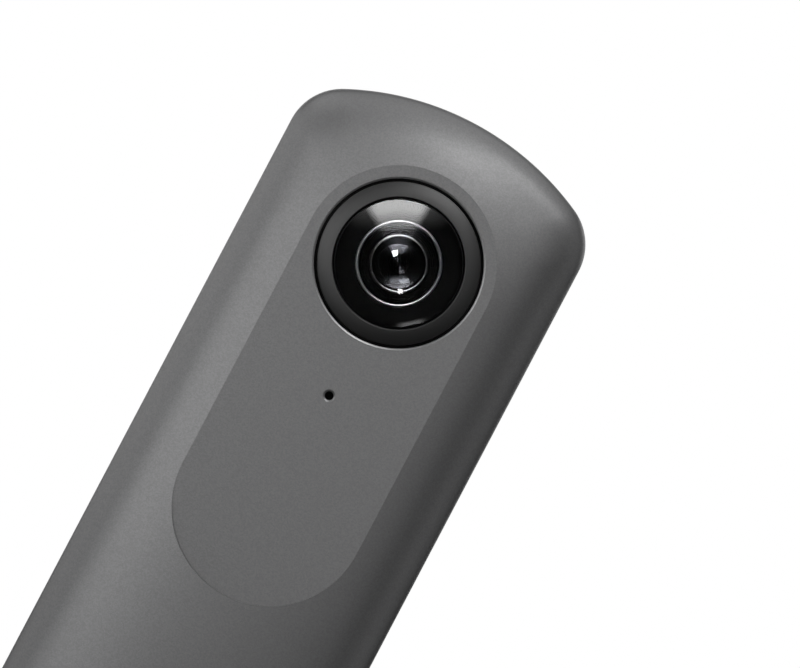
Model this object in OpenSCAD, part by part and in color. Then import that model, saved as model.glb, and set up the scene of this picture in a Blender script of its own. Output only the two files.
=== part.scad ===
// Slim panoramic camera: a flat bar with one fisheye lens on each face.
// The origin is the centre of the base and +Z runs up to the lens end.
// The face without a button looks along -Y, the shutter button is on the +Y face,
// and the three small side buttons are on the +X side.

/* [Body] */
// Width across the sides
body_w = 45.2; // [44.6:0.2:48]
// Height from the base to the crest of the arched top
body_h = 130.6; // [126:0.2:138]
// Thickness over the two flat face pads
face_t = 17.9; // [17.7:0.1:18.5]
// Height of each face pad above the crown of the grip
pad_rise = 0.2; // [0.1:0.05:0.3]
// How soon the crowned section starts to fall towards the sides
side_power = 2.2; // [2.1:0.1:2.5]
// How blunt the sides of the crowned section are
edge_power = 3.5; // [3.3:0.1:3.9]
// Radius of the arched top
top_r = 39; // [36:0.5:44]
// Radius of the two top corners
corner_r = 6; // [4.5:0.5:7.5]
// Radius of the edge around the base
base_r = 2; // [1:0.25:2.25]
// Wall of the two shells
wall = 1.5; // [1.3:0.05:1.6]
// Floor of the shells
base_t = 3; // [2.8:0.1:3.4]
// Distance of the parting plane behind the middle plane
split_y = 3.6; // [3.4:0.1:3.8]

/* [Face pads] */
// Radius of the round ends of the flat pads
pad_r = 13.7; // [13.4:0.1:14.4]
// Distance from the lens axis down to the centre of the pad's lower end
pad_drop = 38.3; // [36:0.1:40]
// Distance from the crest down to the lens axis
lens_drop = 22.2; // [21.6:0.1:23]
// Distance from the lens axis down to the microphone hole
mic_drop = 20.6; // [20:0.1:21.4]
// Radius of the microphone holes
mic_hole_r = 0.6; // [0.4:0.05:0.8]

/* [Lens] */
// Thickness over the two glass domes
lens_t = 22.9; // [22.7:0.1:23.5]
// Radius of the front glass
dome_r = 8.9; // [8.7:0.05:9.1]
// Height of the front glass's dome above its rim
dome_rise = 2.15; // [1.9:0.05:2.4]
// Thickness of the front glass at its rim
dome_edge = 1.6; // [1.5:0.05:1.7]
// Thickness of the front glass at its centre
dome_centre_t = 2.3; // [2.1:0.05:2.5]
// Rim radius of the hollow in the back of the front glass
bowl_r = 5.75; // [5.5:0.05:6]
// Outer radius of the lens ring
ring_r = 11.3; // [11.1:0.05:11.5]
// How far the lens ring stands above the face pad
ring_proud = 0.6; // [0.4:0.05:0.8]
// Width of the seal between lens ring and shell
seal_w = 0.45; // [0.35:0.05:0.6]
// Chamfer around the lens opening
opening_chamfer = 0.55; // [0.3:0.05:0.7]
// Radius of the second element
second_r = 4.05; // [3.9:0.05:4.2]
// Radius of the third element
third_r = 3.1; // [2.9:0.05:3.3]
// Side of the prism pair between the two lenses
prism_s = 5.6; // [5.2:0.1:5.8]

/* [Buttons] */
// Radius of the shutter button
shutter_r = 5; // [4.5:0.1:5.5]
// Travel of the shutter button
shutter_travel = 0.5; // [0.3:0.05:0.5]
// Length of a side button
side_len = 6; // [5:0.1:7]
// Width of a side button
side_wid = 2.6; // [2.2:0.1:2.8]
// Travel of a side button
side_travel = 0.4; // [0.3:0.05:0.4]
// Distance between neighbouring side buttons
side_pitch = 10; // [9.5:0.1:10.5]

/* [Base ports] */
// Distance from the side of the body to the end of the inset base plate
plate_inset = 3.6; // [3.4:0.1:3.8]
// Half width of the inset base plate
plate_wid = 5; // [4.9:0.05:5.1]
// Thickness of the base plate
plate_t = 1.5; // [1.4:0.05:1.6]
// Radius of the tripod socket
socket_r = 4.4; // [4:0.1:4.6]
// Minor radius of the 1/4 inch tripod thread
thread_r = 2.55; // [2.5:0.01:2.6]
// Depth of the tripod thread
thread_depth = 6.5; // [5.5:0.1:7]
// Bore radius of the microphone jack
jack_r = 1.75; // [1.7:0.05:1.8]
// Depth of the microphone jack's bore
jack_depth = 13; // [12:0.1:13.5]

/* [Inside] */
// Thickness of the chassis plate
chassis_t = 1.4; // [1.2:0.1:1.5]
// Height of the posts under the main board
standoff_h = 1.2; // [1.1:0.05:1.3]
// Thickness of the circuit boards
board_t = 1; // [0.8:0.05:1]
// Thickness of the battery
battery_t = 4.8; // [4:0.1:4.9]
// Thickness of the battery's adhesive tape
tape_t = 0.2; // [0.1:0.05:0.25]

/* [Fits] */
// Play around a moving button
slide_gap = 0.15; // [0.1:0.01:0.2]
// Play around a located piece
fit_gap = 0.05; // [0.03:0.01:0.08]
// Room beside a loosely seated piece
seat_gap = 0.3; // [0.25:0.05:0.35]

/* [Hidden] */
$fn = 64;

// Body section
half_w = body_w / 2;
pad_y = face_t / 2;
crown_y = pad_y - pad_rise;
cav_w = half_w - wall;
cav_y = crown_y - wall;
lens_z = body_h - lens_drop;
pad_low_z = lens_z - pad_drop;
mic_z = lens_z - mic_drop;
cut = 1;

// Half width or half depth of the cavity at a given depth or distance from the middle
function inner_y(x) = cav_y * pow(1 - pow(abs(x) / cav_w, side_power), 1 / edge_power);
function inner_x(y) = cav_w * pow(1 - pow(abs(y) / cav_y, edge_power), 1 / side_power);
function outer_y(x) = crown_y * pow(1 - pow(abs(x) / half_w, side_power), 1 / edge_power);

// Lens stack, measured outwards from the middle plane along each lens axis
dome_top = lens_t / 2;
dome_rim = dome_top - dome_rise;
dome_seat = dome_rim - dome_edge;
dome_sphere = (dome_r * dome_r + dome_rise * dome_rise) / (2 * dome_rise);
bowl_top = dome_top - dome_centre_t;
bowl_depth = bowl_top - dome_seat;
bowl_sphere = (bowl_r * bowl_r + bowl_depth * bowl_depth) / (2 * bowl_depth);
ring_bore = dome_r + 0.2;
ring_top = pad_y + ring_proud;
opening_r = ring_r + seal_w;
prism_half = prism_s / 2;
barrel_z0 = prism_half + 0.1;
barrel_r = 6.5;
flange_r = ring_bore - 0.1;
flange_t = 1.7;
step_z = dome_seat - 1.3;
second_z = step_z - 2.1;
second_edge = 1;
second_rise = 1.25;
lip_w = 0.3;
second_dome_r = second_r - lip_w - 0.1;
stop_r = 1.2;
stop_t = 0.25;
third_z = barrel_z0 + stop_t;
third_edge = second_z - third_z - 0.1;
third_hollow = 0.4 * third_edge;
third_hollow_r = third_r - 0.2;
ring_slope = 0.4;
ring_break = 0.2;

// Lens housing and the folded light path behind each lens
housing_x = 11.5;
housing_y = 5.2;
housing_h = 9.4;
ring_flange_r = ring_r + 1.3;
ring_flange_t = 0.9;
ear_t = 1.4;
ear_x = 10;
ear_h = 3.3;
relay_r = prism_half - 0.05;
relay_end = 9.6;
sensor_t = 1.3;
sensor_y = 3.5;
sensor_h = 4.5;
sensor_board_t = 0.8;
sensor_board_y = 4.9;
sensor_board_h = 8;
sensor_screw_y = 3.6;
sensor_screw_z = sensor_board_h - 1.4;
flex_t = 0.15;

// Chassis and boards
plate_y = chassis_t / 2;
chassis_x = inner_x(plate_y) - seat_gap;
foot_z = 8;
foot_x = 6;
foot_y = 5;
foot_rise = 8;
chassis_z0 = foot_z + foot_rise;
window_x = housing_x + sensor_board_t + 0.7;
window_h = housing_h + 0.6;
bridge_h = 3.8;
boss_r = 2.2;
boss_inset = 4.1;
boss_x = cav_w - boss_inset;
boss_lift = 4;
boss_drop = 24.4;
boss_z = [chassis_z0 + boss_lift, lens_z - boss_drop];
screw_r = 0.8;
head_r = 1.4;
head_h = 1;
board_y = plate_y + standoff_h;
board_face = board_y + board_t;
board_room = 2;
board_z0 = base_t + board_room;
board_z1 = lens_z - housing_h - ear_h - 1.7;
arch_room = 1.5;
board_arch_x = foot_x + arch_room;
post_r = 1.6;
post_screw_r = 0.6;
low_post_x = 12.5;
low_post_lift = 6;
low_post = [low_post_x, chassis_z0 + low_post_lift];
high_post_x = 8;
high_post_drop = 3;
high_post = [high_post_x, board_z1 - high_post_drop];
front_board_h = 15;
front_board_z0 = board_z1 - front_board_h;
battery_room = 0.8;
battery_lift = 8;
battery_drop = 3;
terminal_h = 2.4;
terminal_in = 1.5;
terminal_y = 1.6;
battery_x = boss_x - boss_r - battery_room;
battery_z0 = chassis_z0 + battery_lift;
battery_z1 = front_board_z0 - battery_drop;
battery_y = plate_y + tape_t;

// Side buttons, from the outside inwards
side_face = half_w - 0.05;
side_flange_t = 0.7;
side_flange_x = inner_x(side_wid / 2 + 0.7) - seat_gap;
side_stem_r = 0.7;
side_switch_h = 1.8;
side_switch_x = side_flange_x - side_flange_t - 1;
side_board_x = side_switch_x - side_switch_h;
side_board_t = 0.8;
side_drop = 6.1;
side_mid_z = pad_low_z - side_drop;
side_board_end = 5;
side_board_h = side_pitch + side_board_end;
side_board_y = 2.8;
stem_in_switch = 0.6;
side_stem_end = side_switch_x - stem_in_switch;
board_x = side_board_x - side_board_t - 0.8;

// Shutter button, from the outside inwards
shutter_face = pad_y + 0.1;
shutter_flange_r = shutter_r + 0.8;
shutter_flange_t = 0.6;
shutter_flange_y = inner_y(shutter_flange_r) - seat_gap;
shutter_switch_y = board_face + 1.8;
shutter_stem_r = 1.2;
shutter_stem_end = shutter_switch_y - 0.4;

// Lamps
pipe_r = 0.7;
led_h = 0.7;
status_rise = 4.4;
status_z = pad_low_z + shutter_r + status_rise;
lamp_drop = 7.4;
lamp_z = pad_low_z - pad_r - lamp_drop;
lamp_pitch = 5;

// Base ports; each connector sits midway between the tripod socket and a base screw
usb_w = 7.5;
usb_h = 2.5;
usb_wall = 0.3;
usb_z0 = 0.5;
usb_z1 = 6;
usb_y = board_y - usb_h;
jack_wid = 6.4;
jack_back = 5.4;
jack_y = board_y - jack_back / 2;
jack_z1 = jack_depth + 1.3;
jack_collar_r = 2.5;
socket_top = foot_z + 1.4;
relief_w = 0.4;
relief_h = 0.8;
plate_half = half_w - plate_inset;
ledge_end = 2.6;
ledge_side = 0.8;
ledge_half = plate_half - ledge_end;
ledge_wid = plate_wid - ledge_side;
bottom_screw_end = 1.4;
bottom_screw_x = plate_half - bottom_screw_end;
bottom_screw_r = 0.6;
bottom_head_r = 0.95;
port_x = (socket_r + bottom_screw_x) / 2;

// Speaker, microphones and shielding
speaker_lift = 21.5;
speaker_z = chassis_z0 + speaker_lift;
speaker_len = 15;
speaker_wid = 4.6;
speaker_room = 1.3;
speaker_x = [cav_w - speaker_room - speaker_wid, cav_w - speaker_room];
speaker_pitch = 2.2;
speaker_y = inner_y(speaker_x[1]) - 0.1;
mic_s = 3;
mic_t = 1;
boot_r = 1.9;
side_mic_drop = 17.4;
side_mic_z = lens_z - side_mic_drop;
side_mic_depth = 3.2;
side_mic_x = chassis_x - side_mic_depth;
can_lift = 3;
lamp_room = 6;
can_z0 = chassis_z0 + can_lift;
can_z1 = lamp_z - lamp_room;
can_mid = (can_z0 + can_z1) / 2;
can_x = 10;
can_t = 2;
can_wall = 0.25;
chip_rim = 1.5;
processor_s = 9.6;
processor_t = 1.2;
memory_w = 5.4;
memory_h = 8;
memory_t = 1;
spreader_t = 0.6;
spreader_notch = 2.5;
tab_low = 14;
tab_mid = 10;
tab_high = 10.4;
tab_z = [chassis_z0 + tab_low, pad_low_z - tab_mid, lens_z - tab_high];
tab_y = 1.4;
tab_h = 3;

module x_cyl(r, x0, x1, y, z) {
  translate([x0, y, z]) rotate([0, 90, 0]) cylinder(r = r, h = x1 - x0);
}

module y_cyl(r, y0, y1, x, z) {
  translate([x, y0, z]) rotate([-90, 0, 0]) cylinder(r = r, h = y1 - y0);
}

module box(x, y, z) {
  translate([x[0], y[0], z[0]]) cube([x[1] - x[0], y[1] - y[0], z[1] - z[0]]);
}

// Puts a piece drawn along +Z onto a lens axis, 0 for the front lens and 180 for the rear one
module on_axis(turn) {
  translate([0, 0, lens_z]) rotate([0, 0, turn]) rotate([90, 0, 0]) children();
}

function arc(c, r, a0, a1, steps) =
  [for (i = [0 : steps]) let (a = a0 + (a1 - a0) * i / steps) c + r * [cos(a), sin(a)]];

function stadium(r, c0, c1, steps) =
  concat(arc(c0, r, 0, 180, steps), arc(c1, r, 180, 360, steps));

// Upper outline of the body around the lens axis, drawn inwards by inset
function shoulder(inset, steps) =
  let (top_c = lens_drop - top_r, cx = half_w - corner_r)
  let (cz = top_c + sqrt(pow(top_r - corner_r, 2) - cx * cx))
  let (a = atan2(cz - top_c, cx), r = corner_r - inset)
  concat([[half_w - inset, 0]], arc([cx, cz], r, 0, a, steps),
    arc([0, top_c], top_r - inset, a, 180 - a, 2 * steps),
    arc([-cx, cz], r, 180 - a, 180, steps), [[inset - half_w, 0]]);

// Share of the half width and of the half depth at one level of the crowned section
function level_x(a) = pow(sin(a), 2 / side_power);
function level_y(a) = pow(cos(a), 2 / edge_power);

function top_points(inset, gap, steps) =
  [for (a = [2 : gap : 90], p = shoulder(inset, steps), s = [-1, 1])
    [level_x(a) * p[0], s * level_y(a) * (crown_y - inset), lens_z + level_x(a) * p[1]]];

function base_points(inset, gap, z, shrink) =
  [for (a = [2 : gap : 90], sx = [-1, 1], sy = [-1, 1])
    [sx * level_x(a) * (half_w - inset - shrink), sy * level_y(a) * (crown_y - inset - shrink), z]];

module hull_points(pts) {
  hull() polyhedron(points = pts, faces = [[for (i = [0 : len(pts) - 1]) i]]);
}

module body_core() {
  hull_points(concat(top_points(0, 8, 5),
    [for (b = [0 : 30 : 90]) each base_points(0, 8, base_r * (1 - sin(b)), base_r * (1 - cos(b)))]));
}

module cavity() {
  hull_points(concat(top_points(wall, 11, 2), base_points(wall, 11, base_t, 0)));
}

module face_pads() {
  rotate([90, 0, 0]) translate([0, 0, -pad_y]) linear_extrude(face_t)
    polygon(stadium(pad_r, [0, lens_z], [0, pad_low_z], 28));
}

module shell_half(y0, y1) {
  difference() {
    intersection() {
      union() {
        body_core();
        face_pads();
      }
      box([-half_w - cut, half_w + cut], [y0, y1], [-cut, body_h + cut]);
    }
    cavity();
    plate_room();
  }
}

module plate_outline(x, y) {
  polygon(stadium(y, [0, 0], [0, 0], 16) + [for (i = [0 : 33]) [(i < 8 || i > 25 ? 1 : -1) * (x - y), 0]]);
}

// Stepped opening in the floor that takes the base plate, the connectors and the tripod socket
module plate_room() {
  translate([0, 0, -cut]) linear_extrude(plate_t + cut) plate_outline(plate_half, plate_wid);
  translate([0, 0, -cut]) linear_extrude(base_t + 2 * cut) plate_outline(ledge_half, ledge_wid);
  translate([0, 0, -cut]) cylinder(r = socket_r + seat_gap, h = base_t + 2 * cut);
}

module lens_opening(turn) {
  on_axis(turn) {
    cylinder(r = opening_r, h = pad_y + cut);
    translate([0, 0, pad_y - opening_chamfer])
      cylinder(r1 = opening_r, r2 = opening_r + opening_chamfer + cut, h = opening_chamfer + cut);
  }
}

module side_hole(z) {
  pill_x(side_wid / 2 + slide_gap, side_len / 2 + slide_gap, cav_w - cut, half_w + cut, z);
}

// A pill-shaped bar along X with its long way along Z
module pill_x(r, half, x0, x1, z) {
  translate([x0, 0, z]) rotate([90, 0, 90]) linear_extrude(x1 - x0)
    polygon(stadium(r, [0, half - r], [0, r - half], 12));
}

module front_shell() {
  color("#5c5c5e") difference() {
    union() {
      shell_half(-pad_y - cut, split_y);
      for (x = [-boss_x, boss_x], z = boss_z)
        y_cyl(boss_r, -inner_y(boss_x - boss_r), -plate_y, x, z);
    }
    lens_opening(0);
    y_cyl(mic_hole_r, -pad_y - cut, 0, 0, mic_z);
    for (x = [-boss_x, boss_x], z = boss_z)
      y_cyl(screw_r + fit_gap, -plate_y - 4, 0, x, z);
    for (i = [-1 : 1]) side_hole(side_mid_z + i * side_pitch);
    for (t = [0, 180]) rotate([0, 0, t]) x_cyl(mic_hole_r, cav_w - cut, half_w + cut, 0, side_mic_z);
    for (i = [-2 : 2])
      x_cyl(mic_hole_r, -half_w - cut, -speaker_x[1] - 0.1, -plate_y - 1.4, speaker_z + i * speaker_pitch);
    for (x = [-bottom_screw_x, bottom_screw_x])
      translate([x, 0, 0]) cylinder(r = bottom_screw_r + fit_gap, h = base_t + cut);
  }
}

module rear_shell() {
  color("#5c5c5e") difference() {
    union() {
      shell_half(split_y, pad_y + cut);
      for (s = [0, 1], z = tab_z) mirror([s, 0, 0])
        box([inner_x(split_y) - 1.6, inner_x(split_y) - 0.4], [split_y - tab_y, split_y + tab_y],
          [z - tab_h, z + tab_h]);
    }
    lens_opening(180);
    y_cyl(mic_hole_r, 0, pad_y + cut, 0, mic_z);
    y_cyl(shutter_r + slide_gap, 0, pad_y + cut, 0, pad_low_z);
    y_cyl(pipe_r + fit_gap, 0, pad_y + cut, 0, status_z);
    for (i = [-1 : 1]) y_cyl(pipe_r + fit_gap, 0, pad_y + cut, i * lamp_pitch, lamp_z);
  }
}

module bottom_plate() {
  color("#2a2a2c") difference() {
    linear_extrude(plate_t) plate_outline(plate_half - fit_gap * 2, plate_wid - fit_gap * 2);
    translate([0, 0, -cut]) cylinder(r = socket_r + fit_gap, h = plate_t + 2 * cut);
    translate([port_x, jack_y, -cut]) cylinder(r = jack_collar_r + fit_gap, h = plate_t + 2 * cut);
    box([-port_x - usb_w / 2 - 0.25, -port_x + usb_w / 2 + 0.25], [usb_y - 0.25, board_y + 0.25],
      [-cut, plate_t + cut]);
    for (x = [-bottom_screw_x, bottom_screw_x]) translate([x, 0, -cut]) {
      cylinder(r = bottom_screw_r + fit_gap, h = plate_t + 2 * cut);
      cylinder(r = bottom_head_r + fit_gap, h = cut + 0.6);
    }
  }
}

module bottom_screws() {
  color("#3c3c3e") for (x = [-bottom_screw_x, bottom_screw_x]) translate([x, 0, 0]) difference() {
    union() {
      translate([0, 0, 0.1]) cylinder(r = bottom_head_r, h = 0.5);
      translate([0, 0, 0.5]) cylinder(r = bottom_screw_r, h = base_t - 0.7);
    }
    cross_slot(0.35, 0.5);
  }
}

// Cross recess in a screw head, cut upwards from z = 0
module cross_slot(depth, reach) {
  for (t = [0, 90]) rotate([0, 0, t])
    translate([-reach, -0.11, -cut]) cube([2 * reach, 0.22, depth + cut]);
}

// Screw along +Y with its head at y0
module y_screw(r, len, hr, hh, x, y0, z) {
  translate([x, y0, z]) rotate([90, 0, 0]) difference() {
    union() {
      translate([0, 0, -hh]) cylinder(r = hr, h = hh);
      cylinder(r = r, h = len);
    }
    translate([0, 0, -hh]) cross_slot(0.35, hr * 0.55);
  }
}

module chassis() {
  arch_z = lens_z + window_h + bridge_h;
  color("#8f9296") difference() {
    union() {
      rotate([90, 0, 0]) translate([0, 0, -plate_y]) linear_extrude(chassis_t)
        polygon([[-chassis_x, chassis_z0], [chassis_x, chassis_z0], [chassis_x, lens_z + 8],
          [chassis_x - 3.6, arch_z], [3.6 - chassis_x, arch_z], [-chassis_x, lens_z + 8]]);
      box([-foot_x, foot_x], [-foot_y, foot_y], [foot_z, chassis_z0 + 0.4]);
      for (p = [low_post, high_post], s = [-1, 1]) y_cyl(post_r, 0, board_y, s * p[0], p[1]);
    }
    box([-window_x, window_x], [-cut, cut], [lens_z - window_h, lens_z + window_h]);
    translate([0, 0, foot_z - cut]) cylinder(r = socket_r + fit_gap, h = socket_top - foot_z + 0.1 + cut);
    box([side_board_x - side_board_t, half_w], [-cut, cut],
      [side_mid_z - side_board_h - fit_gap, side_mid_z + side_board_h + fit_gap]);
    for (t = [0, 180]) rotate([0, 0, t])
      box([side_mic_x, half_w], [-cut, cut], [side_mic_z - boot_r - 0.2, side_mic_z + boot_r + 0.2]);
    for (x = [-boss_x, boss_x], z = boss_z) y_cyl(screw_r + fit_gap, -cut, cut, x, z);
    for (p = [low_post, high_post], s = [-1, 1])
      y_cyl(post_screw_r + fit_gap, -cut, board_y + cut, s * p[0], p[1]);
    for (x = [-ear_x + 2.4, ear_x - 2.4], s = [-1, 1])
      y_cyl(post_screw_r + fit_gap, -cut, cut, x, lens_z + s * (window_h + 1.3));
  }
}

module chassis_screws() {
  color("#55585c") for (x = [-boss_x, boss_x], z = boss_z)
    y_screw(screw_r, chassis_t + 3.6, head_r, head_h, x, plate_y, z);
}

// Bush with a blind 1/4 inch thread that runs out into a relief
module tripod_socket() {
  color("#b9b4a4") difference() {
    cylinder(r = socket_r, h = socket_top);
    translate([0, 0, -cut]) cylinder(r = thread_r, h = thread_depth + relief_h / 2 + cut);
    translate([0, 0, thread_depth]) cylinder(r = thread_r + relief_w, h = relief_h);
  }
}

// Bezel around the glass: a satin ring with a hidden flange that rests on the lens housing
module lens_ring() {
  rotate_extrude() polygon([[ring_bore, housing_y], [ring_flange_r, housing_y],
    [ring_flange_r, housing_y + ring_flange_t], [ring_r, housing_y + ring_flange_t],
    [ring_r, ring_top - ring_slope - ring_break], [ring_r - ring_break, ring_top - ring_slope],
    [ring_bore + ring_break, ring_top], [ring_bore, ring_top - ring_break]]);
}

module lens_seal() {
  difference() {
    cylinder(r = opening_r, h = pad_y - opening_chamfer - 0.2);
    translate([0, 0, -cut]) cylinder(r = ring_r, h = pad_y + cut);
    translate([0, 0, -cut]) cylinder(r = opening_r + cut, h = cav_y + 0.1 + cut);
  }
}

// Stepped barrel that carries the front glass on its top face and ends in a black stop
module lens_barrel() {
  rotate_extrude() polygon([[stop_r, barrel_z0], [barrel_r, barrel_z0],
    [barrel_r, dome_seat - flange_t], [flange_r, dome_seat - flange_t], [flange_r, dome_seat],
    [bowl_r + fit_gap, dome_seat], [bowl_r + fit_gap, step_z], [second_r + fit_gap, step_z],
    [second_r + fit_gap, second_z], [third_r + fit_gap, second_z], [third_r + fit_gap, third_z],
    [stop_r, third_z]]);
}

module dome_lens() {
  difference() {
    intersection() {
      translate([0, 0, dome_top - dome_sphere]) sphere(r = dome_sphere);
      translate([0, 0, dome_seat]) cylinder(r = dome_r, h = dome_top);
    }
    translate([0, 0, bowl_top - bowl_sphere]) sphere(r = bowl_sphere);
  }
}

module lip_ring(r, z0, z1) {
  rotate_extrude() polygon([[r - lip_w, z0], [r, z0], [r, z1], [r - lip_w + 0.1, z1 - 0.15]]);
}

// Lens element with a flat back, a plain edge and a domed front
module element(r, z0, edge, rise) {
  ball = (r * r + rise * rise) / (2 * rise);
  intersection() {
    translate([0, 0, z0 + edge + rise - ball]) sphere(r = ball);
    translate([0, 0, z0]) cylinder(r = r, h = edge + 2 * rise);
  }
}

module front_lens_ring() { color("#2b2b2d") on_axis(0) lens_ring(); }
module rear_lens_ring() { color("#2b2b2d") on_axis(180) lens_ring(); }
module front_lens_seal() { color("#101011") on_axis(0) lens_seal(); }
module rear_lens_seal() { color("#101011") on_axis(180) lens_seal(); }
module front_lens_barrel() { color("#161617") on_axis(0) lens_barrel(); }
module rear_lens_barrel() { color("#161617") on_axis(180) lens_barrel(); }
module front_dome_lens() { color("#20242a") on_axis(0) dome_lens(); }
module rear_dome_lens() { color("#20242a") on_axis(180) dome_lens(); }
module front_retainer_ring() { color("#b8babd") on_axis(0) lip_ring(bowl_r, step_z, dome_seat - 0.1); }
module rear_retainer_ring() { color("#b8babd") on_axis(180) lip_ring(bowl_r, step_z, dome_seat - 0.1); }
module front_second_lens() { color("#27303a") on_axis(0) second_lens(); }
module rear_second_lens() { color("#27303a") on_axis(180) second_lens(); }
module front_inner_ring() { color("#8c8e91") on_axis(0) inner_ring(); }
module rear_inner_ring() { color("#8c8e91") on_axis(180) inner_ring(); }
module front_third_lens() { color("#27303a") on_axis(0) third_lens(); }
module rear_third_lens() { color("#27303a") on_axis(180) third_lens(); }

module inner_ring() {
  lip_ring(second_r, second_z + second_edge + 0.15, step_z - 0.1);
}

// Strongly domed element with a flat shoulder for its retaining ring
module second_lens() {
  translate([0, 0, second_z]) cylinder(r = second_r, h = second_edge);
  element(second_dome_r, second_z + second_edge / 2, second_edge / 2, second_rise);
}

// Element with a hollow front that rests on the stop
module third_lens() {
  ball = (third_hollow_r * third_hollow_r + third_hollow * third_hollow) / (2 * third_hollow);
  difference() {
    translate([0, 0, third_z]) cylinder(r = third_r, h = third_edge);
    translate([0, 0, third_z + third_edge - third_hollow + ball]) sphere(r = ball);
  }
}

module lens_housing() {
  color("#3a3b3d") difference() {
    union() {
      box([-housing_x, housing_x], [-housing_y, housing_y], [lens_z - housing_h, lens_z + housing_h]);
      box([-ear_x, ear_x], [plate_y, plate_y + ear_t],
        [lens_z - housing_h - ear_h, lens_z + housing_h + ear_h]);
    }
    for (t = [0, 180]) on_axis(t) translate([0, 0, prism_half + fit_gap])
      cylinder(r = barrel_r + fit_gap, h = housing_y);
    box([-prism_half - fit_gap, prism_half + fit_gap], [-prism_half - cut, prism_half + cut],
      [lens_z - prism_half - fit_gap, lens_z + prism_half + fit_gap]);
    x_cyl(relay_r + fit_gap, -housing_x - cut, housing_x + cut, 0, lens_z);
    for (s = [-1, 1]) {
      rotate([0, 0, 90 - s * 90]) box([housing_x - sensor_t - 0.1, housing_x + cut],
        [-sensor_y - 0.2, sensor_y + 0.2], [lens_z - sensor_h - 0.2, lens_z + sensor_h + 0.2]);
      for (x = [-ear_x + 2.4, ear_x - 2.4])
        y_cyl(post_screw_r + fit_gap, 0, housing_y, x, lens_z + s * (window_h + 1.3));
    }
    for (t = [0, 180], s = [-1, 1]) rotate([0, 0, t])
      x_cyl(post_screw_r + fit_gap, housing_x - 2.5, housing_x + cut, s * sensor_screw_y,
        lens_z + s * sensor_screw_z);
  }
}

// Half of the prism pair; its slanted face turns the light sideways
module prism(turn) {
  slack = 0.06;
  translate([0, 0, lens_z - prism_half]) rotate([0, 0, turn]) linear_extrude(prism_s)
    polygon([[-prism_half, -prism_half], [prism_half - slack, -prism_half],
      [-prism_half, prism_half - slack]]);
}

module front_prism() { color("#aab6c0") prism(0); }
module rear_prism() { color("#aab6c0") prism(180); }

module relay_cell(turn) {
  translate([0, 0, lens_z]) rotate([0, 0, turn]) difference() {
    x_cyl(relay_r, prism_half + 0.1, relay_end, 0, 0);
    x_cyl(relay_r - 0.6, prism_half, relay_end + cut, 0, 0);
  }
}

module relay_lens(turn) {
  translate([0, 0, lens_z]) rotate([0, 0, turn]) rotate([0, 90, 0])
    element(relay_r - 0.6 - fit_gap, prism_half + 2, 1.6, 0.7);
}

module left_relay_cell() { color("#202122") relay_cell(180); }
module right_relay_cell() { color("#202122") relay_cell(0); }
module left_relay_lens() { color("#27303a") relay_lens(180); }
module right_relay_lens() { color("#27303a") relay_lens(0); }

module image_sensor(turn) {
  translate([0, 0, lens_z]) rotate([0, 0, turn]) difference() {
    box([housing_x - sensor_t, housing_x], [-sensor_y, sensor_y], [-sensor_h, sensor_h]);
    box([housing_x - sensor_t - cut, housing_x - sensor_t + 0.3], [-2.3, 2.3], [-3.1, 3.1]);
  }
}

module sensor_board(turn) {
  translate([0, 0, lens_z]) rotate([0, 0, turn]) difference() {
    box([housing_x, housing_x + sensor_board_t], [-sensor_board_y, sensor_board_y],
      [-sensor_board_h, sensor_board_h]);
    for (s = [-1, 1])
      x_cyl(post_screw_r + fit_gap, 0, housing_x + cut, s * sensor_screw_y, s * sensor_screw_z);
  }
}

module left_image_sensor() { color("#1d3a2a") image_sensor(180); }
module right_image_sensor() { color("#1d3a2a") image_sensor(0); }
module left_sensor_board() { color("#1c4a2e") sensor_board(180); }
module right_sensor_board() { color("#1c4a2e") sensor_board(0); }

// Flat cable from each sensor board down to the rear of the main board
module sensor_flexes() {
  x = housing_x + sensor_board_t;
  y1 = board_face + 0.1;
  low = board_z1 - lens_z;
  color("#a8641e") for (s = [-1, 1]) translate([s > 0 ? x : -x - flex_t, 0, lens_z])
    rotate([90, 0, 90]) linear_extrude(flex_t)
      polygon([[-1.6, -1], [1.6, -1], [1.6, 3 - sensor_board_h], [y1 + 1.4, low + 1.4], [y1 + 1.4, low - 5],
        [y1, low - 5], [y1, low + 1], [1.4, 0.2 - window_h], [-1.6, 2 - sensor_board_h]]);
}

module lens_unit_screws() {
  color("#55585c") {
    for (x = [-ear_x + 2.4, ear_x - 2.4], s = [-1, 1])
      y_screw(post_screw_r, ear_t + chassis_t, 1.1, 0.7, x, plate_y + ear_t, lens_z + s * (window_h + 1.3));
    for (t = [0, 180], s = [-1, 1]) translate([0, 0, lens_z]) rotate([0, 0, t - 90])
      y_screw(post_screw_r, sensor_board_t + 2, 1, 0.5, -s * sensor_screw_y, housing_x + sensor_board_t,
        s * sensor_screw_z);
  }
}

module main_board() {
  color("#1c4a2e") difference() {
    box([-board_x, board_x], [board_y, board_face], [board_z0, board_z1]);
    box([-board_arch_x, board_arch_x], [0, board_face + cut], [0, chassis_z0 + 1]);
    for (p = [low_post, high_post], s = [-1, 1])
      y_cyl(post_screw_r + fit_gap, 0, board_face + cut, s * p[0], p[1]);
  }
}

module board_screws() {
  color("#55585c") for (p = [low_post, high_post], s = [-1, 1])
    y_screw(post_screw_r, board_t + standoff_h, 1.1, 0.7, s * p[0], board_face, p[1]);
}

module shield_can() {
  color("#c3c5c8") difference() {
    box([-can_x, can_x], [board_face, board_face + can_t], [can_z0, can_z1]);
    box([can_wall - can_x, can_x - can_wall], [board_face - cut, board_face + can_t - can_wall],
      [can_z0 + can_wall, can_z1 - can_wall]);
  }
}

module processor() {
  color("#202124") box([chip_rim - can_x, chip_rim - can_x + processor_s],
    [board_face, board_face + processor_t], [can_mid - processor_s / 2, can_mid + processor_s / 2]);
}

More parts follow.
